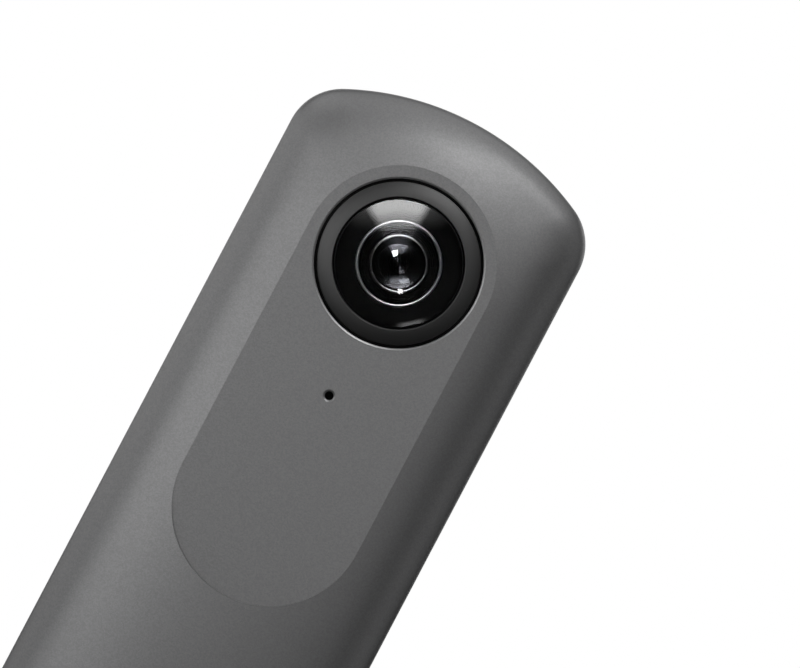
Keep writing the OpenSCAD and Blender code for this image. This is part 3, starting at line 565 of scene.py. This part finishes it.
# %% [markdown]
# Each face has a flat pad with round ends for the lens and, at the rear, the shutter button. It
# is milled into the crown and runs out flush at the long sides. The milling tool is a disc whose
# lower half is pulled down, extruded to a slab.

# %% The face pad
PAD_CUT_TOP = 12.0


def stadium(radius, length, segments):
    """A flat disc whose lower half is pulled down by a length."""
    shape = bmesh.new()
    bmesh.ops.create_circle(shape, cap_ends=True, segments=segments, radius=radius)
    placed(shape, Matrix.Rotation(math.pi / segments, 4, "Z"))
    bmesh.ops.translate(shape, vec=(0, -length, 0), verts=[v for v in shape.verts if v.co.y < 0])
    return shape


def slab(shape, low, high):
    moved(shape, z=low)
    grown = bmesh.ops.extrude_face_region(shape, geom=shape.faces[:])["geom"]
    bmesh.ops.translate(shape, vec=(0, 0, high - low), verts=only(bmesh.types.BMVert, grown))
    return face_out(shape)


def pad_cutter():
    return slab(stadium(PAD_RADIUS, LENS_Z - PAD_LOW_Z, 192), PAD_FACE, PAD_CUT_TOP)


print("pad:", 2 * PAD_RADIUS, "mm wide")

# %% [markdown]
# The round cutters are turned. Each one flares at its mouth, so the hole gets a softened lip as
# a moulded one has. The lens opening and the hole below it have a shallow chamfer instead,
# because light catches on its lower side.

# %% Round cutters
OPENING = 11.70
LIP, LIP_LEAN, LIP_ROUND = 0.28, math.radians(24), 0.08
LIP_OUT = 1.5  # how far the chamfer runs on outside the face
LIP_INNER = 4.5
OVERSHOOT = 0.6


def bore_cutter(radius, inner, face, flare, steps=48):
    soft, out = flare * 0.4, face + OVERSHOOT
    wide = radius + flare + OVERSHOOT
    return turned([(0, inner), (radius, inner), (radius, face - flare),
                   (radius + soft, face - soft), (wide, out), (0, out)], steps=steps)


def lipped_cutter(radius, steps):
    slope = math.tan(LIP_LEAN)
    out = PAD_FACE + LIP_OUT * slope
    return turned([(0, LIP_INNER), (radius, LIP_INNER), (radius, PAD_FACE - LIP * slope),
                   (radius + LIP + LIP_OUT, out), (0, out)], {2: LIP_ROUND}, steps)


print("lens opening:", 2 * OPENING, "mm")

# %% [markdown]
# The side buttons slide in pill-shaped holes, and the base plate lies in a room with round ends.
# Both are the pad's outline again, centred and extruded.

# %% Cutters for buttons and base
PILL_HALF, PILL_RADIUS = 3.0, 1.3
SLIDE_GAP = 0.15
PLATE_HALF, PLATE_WIDE, PLATE_TOP, PLATE_GAP = 18.9, 4.9, 1.5, 0.1
SCREW_XS = (-17.6, 17.6)
SCREW_HOLE = 0.65


def pill(half, radius, segments):
    return moved(stadium(radius, 2 * (half - radius), segments), y=half - radius)


def pill_cutter(z):
    hole = pill(PILL_HALF + SLIDE_GAP, PILL_RADIUS + SLIDE_GAP, 48)
    return placed(slab(hole, 19.0, 24.0), facing(90, z=z))


def plate_slab(half, wide, low, high):
    return slab(placed(pill(half, wide, 96), spun(90, "Z")), low, high)


def base_room():
    """Room for the plate, the sockets above it and the tripod bush."""
    plate_room = plate_slab(PLATE_HALF + PLATE_GAP, PLATE_WIDE + PLATE_GAP, -1.0, PLATE_TOP)
    room = combine(plate_room, plate_slab(16.4, 4.2, -2.0, 4.5), "UNION")
    return combine(room, rod(4.7, -3, 5, 64), "UNION")


print("side button:", 2 * PILL_HALF, "x", 2 * PILL_RADIUS, "mm")

# %% [markdown]
# Now the two halves of the case, hollowed by a smaller bar. Both have the lens opening and one
# microphone hole on the face; the front one adds the openings in the sides, which lie in front
# of the seam, and the rear one the holes for the shutter button and the lamps.

# %% The case
WALL, FLOOR, BASE_ROUND = 1.5, 3.0, 2.0
HOLE, MIC_DROP, SIDE_MIC_Z = 0.6, 20.6, 91.0
SPEAKER_Y, SPEAKER_Z, SPEAKER_PITCH = -2.1, 37.5, 2.2
SIDE_BUTTON_Z = {"power": 74.0, "wireless": 64.0, "mode": 54.0}
SHUTTER_R, SHUTTER_Z = 5.0, 70.1
LAMP_R, LAMP_GAP = 0.7, 0.05
LAMP_SPOTS = [(0.0, 79.5), (-5.0, 49.0), (0.0, 49.0), (5.0, 49.0)]
SKIN = 0.001


def sideways(side, z):
    """Lays a shape drawn along +Z onto +X, or -X for side -1."""
    return Matrix.Translation((0, 0, z)) @ spun(90 * side, "Y")


def side_hole(inner, matrix):
    return placed(bore_cutter(HOLE, inner, HALF_WIDTH, 0.1), matrix)


def face_depth(x, z):
    """Depth of the rear face at a lamp: the pad, or the swollen crown below it."""
    return PAD_FACE if z > PAD_LOW_Z else depth_at(abs(x), HALF_WIDTH, CROWN) + lift_at(z)


def front_holes():
    speaker = Matrix.Translation((0, SPEAKER_Y, 0))
    return ([pill_cutter(z) for z in SIDE_BUTTON_Z.values()]
            + [moved(rod(SCREW_HOLE, 1.0, 4.0, 24), x) for x in SCREW_XS]
            + [side_hole(19.0, sideways(side, SIDE_MIC_Z)) for side in (1, -1)]
            + [side_hole(19.9, speaker @ sideways(-1, SPEAKER_Z + SPEAKER_PITCH * i))
               for i in range(-2, 3)])


def rear_holes():
    shutter = bore_cutter(SHUTTER_R + SLIDE_GAP, 4.0, PAD_FACE, 0.2, 96)
    return [placed(shutter, facing(180, z=SHUTTER_Z))] + [
        placed(bore_cutter(LAMP_R + LAMP_GAP, 4.0, face_depth(x, z), 0.06, 32), facing(180, x, z))
        for x, z in LAMP_SPOTS]


def case_half(turn):
    front = turn == 0
    outside = swell(bar(0.0, 0.0, BASE_ROUND, FACETS, sweep=180, rows=40, seam=True))
    shape = combine(half_of(outside, front), placed(pad_cutter(), facing(turn)), "DIFFERENCE")
    shape = combine(shape, bar(WALL, FLOOR, 0.0, 22, sweep=48, rows=1), "DIFFERENCE")
    holes = [placed(lipped_cutter(OPENING, 192), facing(turn)),
             placed(lipped_cutter(HOLE, 48), facing(turn, z=LENS_Z - MIC_DROP)), base_room()]
    holes += front_holes() if front else rear_holes()
    shape = combine(shape, gather(holes), "DIFFERENCE")
    # Faces of the lens lip take the second finish: cut metal whose lighter colour is partly a
    # painted highlight.
    for face in shape.faces:
        middle = face.calc_center_median()
        off_axis = math.hypot(middle.x, middle.z - LENS_Z)
        in_lip = PAD_FACE - LIP < abs(middle.y) < PAD_FACE - SKIN
        if OPENING < off_axis < OPENING + LIP and in_lip:
            face.material_index = 1
    return shape


for face, turn in FACES.items():
    add_piece(case_half(turn), face + "_case", "shell_paint", face + "_shell", sharp=6,
              recalc=False, extra=["cut_edge"])

# %% [markdown]
# The lens, from the outside in: a satin ring around a domed front glass, a rubber seal in the
# gap around it, and a black stepped barrel under the glass. Grooves in the barrel break up
# stray light. All three are turned, so each is one line of points.

# %% Lens rings, seals and barrels
RING = [(9.1, 5.2), (12.6, 5.2), (12.6, 6.1), (11.3, 6.1), (11.3, 8.77), (9.1, 9.27)]
RING_ROUNDS = {4: 0.14, 5: 0.2}
SEAL = [(11.3, 7.35), (OPENING, 7.35), (OPENING, 7.5), (11.5, 7.65), (11.3, 7.5)]
STOP = 1.2
GROOVES = [(5.3 - 0.13 * i, 6.4 - 0.12 * (i % 2)) for i in range(9)]
BARREL = [(STOP, 2.9), (6.5, 2.9), (6.5, 6.0), (9.0, 6.0), (9.0, 7.66), (5.8, 7.66), (5.8, 6.4),
          *GROOVES, (4.1, 6.4), (4.1, 4.3), (3.15, 4.3), (3.15, 3.13), (STOP, 3.13)]
for face, turn in FACES.items():
    for outline, rounds, name, slot in (
            (RING, RING_ROUNDS, "ring", "ring_black"), (SEAL, None, "seal", "seal_rubber"),
            (BARREL, None, "barrel", "barrel_black")):
        add_piece(placed(turned(outline, rounds), facing(turn)), face + "_" + name, slot,
                  face + "_lens_" + name)

# %% [markdown]
# The front glass is a dome with a hollow back, like a deep watch glass; the second element is
# strongly domed, and a third with a hollow front rests on the stop at the foot of the barrel.
# Spheres could be cut to these shapes, but turning an arc keeps every edge clean. The front glass
# has a blackened edge against stray light, and its hollow is coated. Two bright retaining rings
# show through it as thin circles.

# %% Lens elements and bright rings
DOME_R, DOME_APEX, DOME_SPHERE, DOME_SEAT = 8.9, 11.45, 19.496, 7.7
DOME_CHAMFER = 0.12
BOWL_R, BOWL_TOP = 5.75, 9.15
BEAD_TIGHT, BEAD_FALL = 0.3, 50  # share of the width, and degrees


def arc(centre_z, radius, r_from, r_to, points, side=1):
    """Points of a sphere's section between two distances from the axis."""
    steps = [r_from + (r_to - r_from) * i / (points - 1) for i in range(points)]
    return [(r, centre_z + side * math.sqrt(radius * radius - r * r)) for r in steps]


def ball_radius(radius, rise):
    return (radius * radius + rise * rise) / (2 * rise)


def dome():
    crown = arc(DOME_APEX - DOME_SPHERE, DOME_SPHERE, 0.0, DOME_R - DOME_CHAMFER, 40)
    hollow = ball_radius(BOWL_R, BOWL_TOP - DOME_SEAT)
    bowl = arc(BOWL_TOP - hollow, hollow, BOWL_R, 0.0, 32)
    rim_top = crown[-1][1]
    rim = [(DOME_R, rim_top - DOME_CHAMFER), (DOME_R, DOME_SEAT)]
    shape = turned(crown + rim + bowl, steps=256)
    for face in shape.faces:
        middle = face.calc_center_median()
        if middle.z < rim_top:
            face.material_index = 1 if math.hypot(middle.x, middle.y) > BOWL_R else 2
    return shape


def element(radius, back, rim, curve_r, rise, points, side=1):
    """A lens with a flat back and a domed front, or a hollow one for side -1."""
    ball = ball_radius(curve_r, rise)
    front = arc(rim + side * rise - side * ball, ball, 0.0, curve_r, points, side)
    return turned(front + [(radius, rim), (radius, back), (0.0, back)])


def bead(inner, outer, foot, top):
    tight = BEAD_TIGHT * (outer - inner)
    wide = (outer - inner - tight) / math.sin(math.radians(BEAD_FALL))
    inside = [(inner + tight - tight * math.sin(a), top - tight + tight * math.cos(a))
              for a in (math.radians(90 - 22.5 * i) for i in range(4))]
    outside = [(inner + tight + wide * math.sin(a), top - wide + wide * math.cos(a))
               for a in (math.radians(BEAD_FALL * i / 5) for i in range(6))]
    return turned([(inner, foot)] + inside + outside + [(outer, foot)], steps=256)


for face, turn in FACES.items():
    for shape, name, slot, node in (
            (dome(), "dome", "dome_glass", "dome_lens"),
            (bead(5.45, 5.75, 6.4, 7.6), "bright_ring", "bright_metal", "retainer_ring"),
            (element(4.05, 4.3, 5.3, 3.65, 1.25, 28), "second_element", "element_glass",
             "second_lens"),
            (bead(3.75, 4.05, 5.45, 6.3), "inner_bright_ring", "inner_metal", "inner_ring"),
            (element(3.1, 3.16, 4.2, 2.9, 0.42, 24, -1), "third_element", "element_glass",
             "third_lens")):
        more = {"sharp": 10, "extra": ("edge_black", "coated_glass")} if name == "dome" else {}
        add_piece(placed(shape, facing(turn)), face + "_" + name, slot, face + "_" + node, **more)

# %% [markdown]
# The shutter button is a turned cap with a dished face that a thumb finds by feel. Under the
# case it has a wide flange that keeps it from falling out, and a stem that presses the switch.

# %% Shutter button
SHUTTER = [(0, 4.3), (1.2, 4.3), (1.2, 6.23), (5.8, 6.23), (5.8, 6.83), (SHUTTER_R, 6.83),
           (SHUTTER_R, 9.0), (4.5, 9.05), (2.5, 8.95), (0, 8.9)]
SHUTTER_ROUNDS = {6: 0.2, 7: 0.3, 8: 0.8}
add_piece(placed(turned(SHUTTER, SHUTTER_ROUNDS, 96), facing(180, z=SHUTTER_Z)), "shutter_cap",
          "button_paint", "shutter_button", "shutter")

# %% [markdown]
# The side buttons are small pills with a rounded face, each with a flange inside and a stem.
# They could be one turned shape pulled long; a bevelled slab keeps the face flat. The stem ends
# where the CAD button ends, at its switch.

# %% Side buttons
CAP_FOOT, CAP_FACE = 19.9, 22.55
FLANGE = (4.0, 7.4, 0.7)
FLANGE_RISE = 2.3  # from the stem's end to the flange's top
STEM_R = 0.7


def edges_at(shape, height):
    return [e for e in shape.edges if all(abs(v.co.z - height) < TINY for v in e.verts)]


def cuboid(size):
    shape = bmesh.new()
    bmesh.ops.create_cube(shape, size=1.0)
    bmesh.ops.scale(shape, vec=size, verts=shape.verts)
    return shape


def side_cap(z):
    cap = slab(pill(PILL_HALF, PILL_RADIUS, 48), CAP_FOOT, CAP_FACE)
    rounded(cap, edges_at(cap, CAP_FACE), 0.3, 4)
    flange = cuboid(FLANGE)
    rounded(flange, flange.edges[:], 0.15, 2)
    stem_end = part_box("power_button")[0].x / MM
    flange_top = stem_end + FLANGE_RISE
    moved(flange, z=flange_top - FLANGE[2] / 2)
    stem = rod(STEM_R, stem_end, flange_top - 0.2, 32)
    return placed(combine(combine(cap, flange, "UNION"), stem, "UNION"), facing(90, z=z))


for label, z in SIDE_BUTTON_Z.items():
    add_piece(side_cap(z), label + "_cap", "button_paint", label + "_button", label)

# %% [markdown]
# Light pipes are clear rods with a slightly domed end, one by the shutter button and three below.

# %% Light pipes
LAMP_FOOT, LAMP_SUNK = 3.7, 0.12


def lamp_rod(x, z):
    face = face_depth(x, z) - LAMP_SUNK
    outline = [(0, LAMP_FOOT), (LAMP_R, LAMP_FOOT), (LAMP_R, face - 0.1), (LAMP_R / 2, face),
               (0, face + 0.03)]
    return placed(turned(outline, {2: 0.05, 3: 0.1}, 32), facing(180, x, z))


add_piece(gather([lamp_rod(x, z) for x, z in LAMP_SPOTS]), "lamp_rods", "lamp_clear",
          "light_pipes")

# %% [markdown]
# The base: a plate with round ends set into the floor, with openings for a tripod socket, a USB
# socket, a jack and two screws.

# %% Base plate
PORT_X, JACK_Y = 11.0, -0.8
BUSH_HOLE, JACK_HOLE, MOUTH = 4.45, 2.55, 0.15
USB_HOLE = ((-15.0, -7.0), (-0.85, 2.15), (-1, 3))
HEAD_HOLE, HEAD_SEAT = 1.0, 0.6


def block(x, y, z, bevel=0.0):
    """A box between two limits on each axis."""
    shape = cuboid([high - low for low, high in (x, y, z)])
    moved(shape, *[(low + high) / 2 for low, high in (x, y, z)])
    if bevel:
        rounded(shape, shape.edges[:], bevel, 3)
    return shape


def upright_cutter(radius, x, y):
    wide = radius + MOUTH + OVERSHOOT
    return moved(turned([(0, -OVERSHOOT), (wide, -OVERSHOOT), (radius, MOUTH), (radius, 2.5),
                         (0, 2.5)], steps=64), x, y)


SCREW_CUT = [(0, -1), (HEAD_HOLE, -1), (HEAD_HOLE, HEAD_SEAT), (SCREW_HOLE, HEAD_SEAT),
             (SCREW_HOLE, 3), (0, 3)]
plate = plate_slab(PLATE_HALF, PLATE_WIDE, 0.0, PLATE_TOP)
rounded(plate, edges_at(plate, 0.0), 0.2, 3)
openings = [upright_cutter(BUSH_HOLE, 0, 0), upright_cutter(JACK_HOLE, PORT_X, JACK_Y),
            block(*USB_HOLE, 0.5)] + [moved(turned(SCREW_CUT, steps=32), x) for x in SCREW_XS]
add_piece(combine(plate, gather(openings), "DIFFERENCE"), "base_cover", "base_plastic",
          "bottom_plate")

# %% [markdown]
# Two small screws hold the plate. Each is turned, and a cross of two blocks is cut into its head.

# %% Base screws
SCREW = [(0, 0.1), (0.95, 0.1), (0.95, HEAD_SEAT), (0.6, HEAD_SEAT), (0.6, 2.8), (0, 2.8)]


def base_screw(x):
    long, wide, deep = (-0.5, 0.5), (-0.12, 0.12), (-1, 0.35)
    cross = combine(block(long, wide, deep), block(wide, long, deep), "UNION")
    return moved(combine(turned(SCREW, {1: 0.15}, 32), cross, "DIFFERENCE"), x)


add_piece(gather([base_screw(x) for x in SCREW_XS]), "base_screws", "screw_steel",
          "bottom_screws")

# %% [markdown]
# The tripod socket is a turned bush. Its bore carries the 1/4 inch thread: a pitch of 1.27 mm,
# with crests at the minor radius of the CAD bore and roots cut 0.5 mm deeper. A true thread is a
# helix, but rings of the right pitch look the same from the mouth and stay in the turned line.

# %% Tripod socket
THREAD_CREST, THREAD_ROOT, PITCH = 2.55, 3.05, 1.27
thread = [((THREAD_CREST, THREAD_ROOT)[i % 2], 0.5 + PITCH / 2 * i) for i in range(9)]
BUSH = [(0, 7.3), (2.95, 7.3), (2.95, 6.5), (THREAD_CREST, 6.5), *thread[::-1],
        (THREAD_ROOT, 0.0), (4.4, 0.0), (4.4, 9.4), (0, 9.4)]
add_piece(turned(BUSH, steps=96), "tripod_bush", "socket_metal", "tripod_socket")

# %% [markdown]
# The USB socket is a folded steel shell: the mouth is drawn, bevelled at its corners, extruded
# into a block, inset by the sheet's thickness and pushed in. A tongue stands inside it.

# %% USB socket
USB_WIDE, USB_Y = 3.75, (-0.6, 1.9)
USB_MOUTH, USB_END, SHEET = 0.5, 6.0, 0.3


def usb_shell():
    tall = USB_Y[1] - USB_Y[0]
    slope_x, slope_y = USB_WIDE - tall * 0.4, tall * 0.42
    corners = [(-USB_WIDE, tall), (USB_WIDE, tall), (USB_WIDE, slope_y), (slope_x, 0),
               (-slope_x, 0), (-USB_WIDE, slope_y)]
    shape = bmesh.new()
    shape.faces.new([shape.verts.new((x, y, 0)) for x, y in corners])
    rounded(shape, shape.verts[:], 0.3, 3, "VERTICES")
    slab(shape, USB_MOUTH, USB_END)
    mouth = [f for f in shape.faces if all(abs(v.co.z - USB_MOUTH) < TINY for v in f.verts)]
    bmesh.ops.inset_region(shape, faces=mouth, thickness=SHEET, use_even_offset=True)
    bmesh.ops.translate(shape, vec=(0, 0, USB_END - USB_MOUTH - SHEET), verts=mouth[0].verts)
    tongue = block((-1.9, 1.9), (1.2, 1.75), (1.3, 5.75), 0.1)
    return moved(gather([shape, tongue]), -PORT_X, USB_Y[0])


add_piece(usb_shell(), "usb_shell", "shield_steel", "usb_socket", recalc=False)

# %% [markdown]
# The microphone jack is a moulded block with a round collar that shows in the base plate, and a
# bore of 3.5 mm with a funnel at its mouth.

# %% Microphone jack
JACK_COLLAR, JACK_BORE, BORE_END = 2.5, 1.75, 13.1


def jack():
    housing = block((-3.2, 3.2), (-2.7, 2.7), (1.7, 14.3), 0.3)
    collar = rod(JACK_COLLAR, 0.1, 2.6, 64, {1: 0.2})
    bore = turned([(0, -0.5), (JACK_COLLAR, -0.5), (JACK_BORE, 0.25), (JACK_BORE, BORE_END),
                   (0, BORE_END)], steps=64)
    shape = combine(combine(housing, collar, "UNION"), bore, "DIFFERENCE")
    return moved(shape, PORT_X, JACK_Y)


add_piece(jack(), "mic_socket", "part_black", "mic_jack")

# %% [markdown]
# What sits inside keeps its CAD shape and gets a finish of its own: boards, chips, battery,
# chassis, prisms and sensors.

# %% Finishes for the inside
INSIDE = {
    "chassis_metal": "chassis", "screw_steel": "chassis_screws lens_unit_screws board_screws",
    "seal_rubber": "mic_boots", "barrel_black": "left_relay_cell right_relay_cell",
    "element_glass": "left_relay_lens right_relay_lens", "prism_glass": "front_prism rear_prism",
    "housing_metal": "lens_housing", "sensor_face": "left_image_sensor right_image_sensor",
    "circuit_board": "left_sensor_board right_sensor_board main_board front_board side_board",
    "flat_cable": "sensor_flexes", "shield_steel": "shield_can",
    "chip_black": "processor memory_chip", "spreader_metal": "heat_spreader",
    "battery_wrap": "battery", "tape_white": "battery_tape",
    "part_black": "speaker side_switches shutter_switch", "mic_metal": "microphones",
    "lamp_clear": "indicator_leds"}
for slot, nodes in INSIDE.items():
    for node in nodes.split():
        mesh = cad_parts[node].data
        mesh.materials.clear()
        mesh.materials.append(FINISHES[slot])
print("inside finishes:", len(INSIDE))

# %% [markdown]
# The camera looks straight at the front face and is rolled, so the bar leans to the right as in
# the photograph. A long lens from nearly a metre away keeps the perspective weak.

# %% Camera
ROLL = math.radians(27.8)
AIM = Vector((4.68, 0.0, 99.88)) * MM
FRAME_WIDTH = 111.3 * MM
LENS_MM, SENSOR_MM = 300.0, 36.0
camera_data = bpy.data.cameras.new("view")
camera_data.lens, camera_data.sensor_width = LENS_MM, SENSOR_MM
camera_data.clip_start, camera_data.clip_end = 0.05, 20.0
camera = add_object("view", camera_data)
image_right = Vector((math.cos(ROLL), 0, math.sin(ROLL)))
image_up = Vector((-math.sin(ROLL), 0, math.cos(ROLL)))
to_camera = Vector((0, -1, 0))
distance = FRAME_WIDTH * LENS_MM / SENSOR_MM
turned_view = Matrix((image_right, image_up, to_camera)).transposed().to_4x4()
camera.matrix_world = Matrix.Translation(AIM + to_camera * distance) @ turned_view
scene.camera = camera
print("camera", round(distance, 3), "m away")

# %% [markdown]
# A product photographer lights the paint and the glass apart, with flags between them. Light
# linking does the same here: each lamp lists the pieces that it reaches. The lamps are kept out
# of the picture itself.

# %% Softbox helper
GLASSY = ("dome", "bright_ring", "element")


def reach_of(name, pieces):
    group = bpy.data.collections.new(name)
    for piece in pieces:
        group.objects.link(piece)
    return group


meshes = [o for o in scene.objects if o.type == "MESH"]
glass_pieces = [o for o in meshes if any(word in o.name for word in GLASSY)]
other_pieces = [o for o in meshes if o not in glass_pieces]
glass_reach = reach_of("glass pieces", glass_pieces)
paint_reach = reach_of("all but the glass", other_pieces)


def softbox(name, off_axis, azimuth, away, wide, tall, radiance, reached):
    """A rectangular lamp, seen from the lens off the view axis; azimuth 0 is image up."""
    off_axis, azimuth = math.radians(off_axis), math.radians(azimuth)
    outward = image_up * math.cos(azimuth) + image_right * math.sin(azimuth)
    direction = to_camera * math.cos(off_axis) + outward * math.sin(off_axis)
    data = bpy.data.lights.new(name, "AREA")
    data.shape, data.size, data.size_y = "RECTANGLE", wide, tall
    data.energy = radiance * math.pi * wide * tall
    lamp = add_object(name, data)
    across = (image_right * math.cos(azimuth) - image_up * math.sin(azimuth)).normalized()
    upward = direction.cross(across).normalized()
    facing_lens = Matrix((across, upward, direction)).transposed().to_4x4()
    spot = Vector((0, 0, LENS_Z)) * MM + direction * away
    lamp.matrix_world = Matrix.Translation(spot) @ facing_lens
    lamp.visible_camera = False
    lamp.light_linking.receiver_collection = reached
    return lamp


print("glass pieces:", len(glass_pieces), "others:", len(other_pieces))

# %% [markdown]
# Each lens shows one softbox as a bright fan. Real softboxes fade towards their edges, so this
# one does too, and a weak wider box behind it gives the fan a skirt. A small strip makes the glow
# at the foot of the dome. A box further up lights the bright rings alone, since the dome can't
# mirror it to the camera, and two small bare lamps make the sparks in the middle.

# %% Lamps for the glass
# Degrees off the axis, azimuth, metres away, width, height and radiance.
GLASS_LAMPS = {
    "lens_box": (43, -0.5, 0.40, 0.50, 0.245, 9.8), "rear_box": (137, 28, 0.40, 0.50, 0.245, 9.8),
    "fan_skirt": (43, -0.5, 0.41, 1.2, 0.245, 1.3),
    "low_glow": (49.4, 168, 0.12, 0.055, 0.008, 2.5), "ring_box": (68, -3, 0.40, 0.70, 0.15, 6.0),
    "upper_spark": (9.4, -19, 0.8, 0.06, 0.06, 50.0),
    "lower_spark": (22.4, 177, 0.25, 0.016, 0.016, 25.0)}
# Where the sides fade, where the lower edge fades, the width at the foot and what it gains.
SOFT_EDGES = {
    "lens_box": ((0.64, 0.36), (0.02, 0.6), 0.367, 0.358),
    "rear_box": ((0.64, 0.36), (0.98, 0.4), 0.725, -0.358),
    "fan_skirt": ((1.5, 0.4), (0.1, 0.9), 0.153, 0.149),
    "low_glow": ((0.5, 0.1), (0.0, 0.6), 1.0, 0.0)}


def soften(lamp, sides, lower, foot, flare):
    """Fades a softbox at its sides and towards its lower edge."""
    lamp.data.use_nodes = True
    tree = lamp.data.node_tree
    surface = add_node(tree, "NewGeometry").outputs["Parametric"]
    x, y = add_node(tree, "SeparateXYZ", [(0, surface)]).outputs[:2]
    aside = maths(tree, "ABSOLUTE", maths(tree, "SUBTRACT", x, 0.5))
    aside = maths(tree, "DIVIDE", aside, stretch(tree, y, 0.0, 1.0, foot, foot + flare))
    faded = stretch(tree, aside, *sides, interpolation_type="SMOOTHSTEP")
    strength = maths(tree, "MULTIPLY", faded, stretch(tree, y, *lower))
    tree.links.new(strength, tree.nodes["Emission"].inputs["Strength"])


for name, setting in GLASS_LAMPS.items():
    lamp = softbox(name, *setting, glass_reach)
    if name in SOFT_EDGES:
        soften(lamp, *SOFT_EDGES[name])
print("glass lamps:", len(GLASS_LAMPS))

# %% [markdown]
# The paint is lit from above the lens end and, lower, from the left; the right side falls into
# shade. Long walls of light at the left, the top and the corner between them keep the edges from
# going dark. A large box in front fills the flat pad, and its twin behind the rear face; two more
# lamps there reach the rear pieces only.

# %% Lamps for the paint
PAINT_LAMPS = {
    "front": (10, 28, 0.9, 0.9, 0.5, 0.70), "top": (39, 32, 0.7, 0.25, 0.42, 6.0),
    "top_right": (70, 45, 0.7, 0.25, 0.25, 4.4), "left": (35, -62, 0.7, 0.25, 0.5, 2.7),
    "low_left": (28, -93, 0.3, 0.12, 0.18, 1.3), "left_wall": (100, -62, 0.7, 0.35, 1.4, 1.06),
    "top_wall": (95, 28, 0.7, 0.6, 1.2, 0.9), "corner_wall": (90, -20, 0.7, 0.5, 1.0, 0.95),
    "right_rim": (140, 90, 0.7, 0.35, 0.25, 1.0), "rear": (170, 28, 0.9, 0.9, 0.5, 0.9)}
REAR_LAMPS = {"rear_top": (141, 28, 0.7, 0.25, 0.42, 5.0),
              "rear_side": (145, 118, 0.7, 0.25, 0.5, 2.4)}
BEHIND = ("rear", "shutter", "lamp")
rear_reach = reach_of("rear pieces", [o for o in other_pieces if o.name.startswith(BEHIND)])
for lamps, reached in ((PAINT_LAMPS, paint_reach), (REAR_LAMPS, rear_reach)):
    for name, setting in lamps.items():
        softbox(name, *setting, reached)

# %% [markdown]
# The room is white. The world shows white to the camera, and to metal and glass it shows a room
# that is white at both sides and dark in front and behind, so the two lenses stay black.

# %% World
AMBIENT, SIDE_WHITE = 0.22, 0.35
DARK_FROM, DARK_FULL = 0.2, 0.5  # lean to the front or the rear


def shiny_ray(tree, path):
    shiny = [path.outputs[f"Is {kind} Ray"] for kind in ("Glossy", "Transmission")]
    return maths(tree, "MAXIMUM", *shiny)


def room_tone(tree, direction):
    y = add_node(tree, "SeparateXYZ", [(0, direction)]).outputs["Y"]
    return stretch(tree, maths(tree, "ABSOLUTE", y), DARK_FROM, DARK_FULL, SIDE_WHITE, 0.0)


world = bpy.data.worlds.new("studio")
scene.world = world
world.use_nodes = True
sky = world.node_tree
sky.nodes.clear()
path = add_node(sky, "LightPath")
room = room_tone(sky, add_node(sky, "TexCoord").outputs["Generated"])
level = add_node(sky, "Mix", [("Factor", shiny_ray(sky, path)), ("A", AMBIENT), ("B", room)])
seen = add_node(sky, "Mix", [("Factor", path.outputs["Is Camera Ray"]), ("A", level.outputs[0]),
                             ("B", 1.0)])
glow = add_node(sky, "Background", [("Color", (1, 1, 1, 1)), ("Strength", seen.outputs[0])])
add_node(sky, "OutputWorld", [("Surface", glow.outputs[0])])
print("world ready:", len(sky.nodes), "nodes")

# %% [markdown]
# The floor is a pale disc. Near the object it is plain matte white and takes the shadow; further
# out it fades into the white of the room. Metal and glass see it as they see the room.

# %% Floor
FLOOR_RADIUS = 0.6
FADE_FROM, FADE_FULL = 0.12, 0.42
floor_shape = bmesh.new()
bmesh.ops.create_circle(floor_shape, cap_ends=True, segments=96, radius=FLOOR_RADIUS)
floor = add_object("floor", as_mesh(floor_shape, "floor"))
paint_reach.objects.link(floor)
floor_look = bpy.data.materials.new("floor")
floor_look.use_nodes = True
tree = floor_look.node_tree
matte = tree.nodes["Principled BSDF"]
matte.inputs["Base Color"].default_value = (0.8, 0.8, 0.8, 1)
matte.inputs["Roughness"].default_value = 0.9
place = add_node(tree, "TexCoord").outputs["Object"]
away = add_node(tree, "VectorMath", [(0, place)], operation="LENGTH").outputs["Value"]
path = add_node(tree, "LightPath")
faded = maths(tree, "MULTIPLY", stretch(tree, away, FADE_FROM, FADE_FULL),
              path.outputs["Is Camera Ray"])
white = add_node(tree, "Emission")
plain = add_node(tree, "MixShader", [(0, faded), (1, matte.outputs[0]), (2, white.outputs[0])])
heading = add_node(tree, "VectorMath", [(0, place)], operation="NORMALIZE").outputs["Vector"]
mirrored = add_node(tree, "Emission", [("Strength", room_tone(tree, heading))])
whole = add_node(tree, "MixShader", [(0, shiny_ray(tree, path)), (1, plain.outputs[0]),
                                     (2, mirrored.outputs[0])])
tree.links.new(whole.outputs[0], tree.nodes["Material Output"].inputs["Surface"])
floor.data.materials.append(floor_look)
print("floor radius", FLOOR_RADIUS, "m")

# %% [markdown]
# Last, the colours are shown plainly.

# %% Finish
scene.view_settings.view_transform = "Standard"
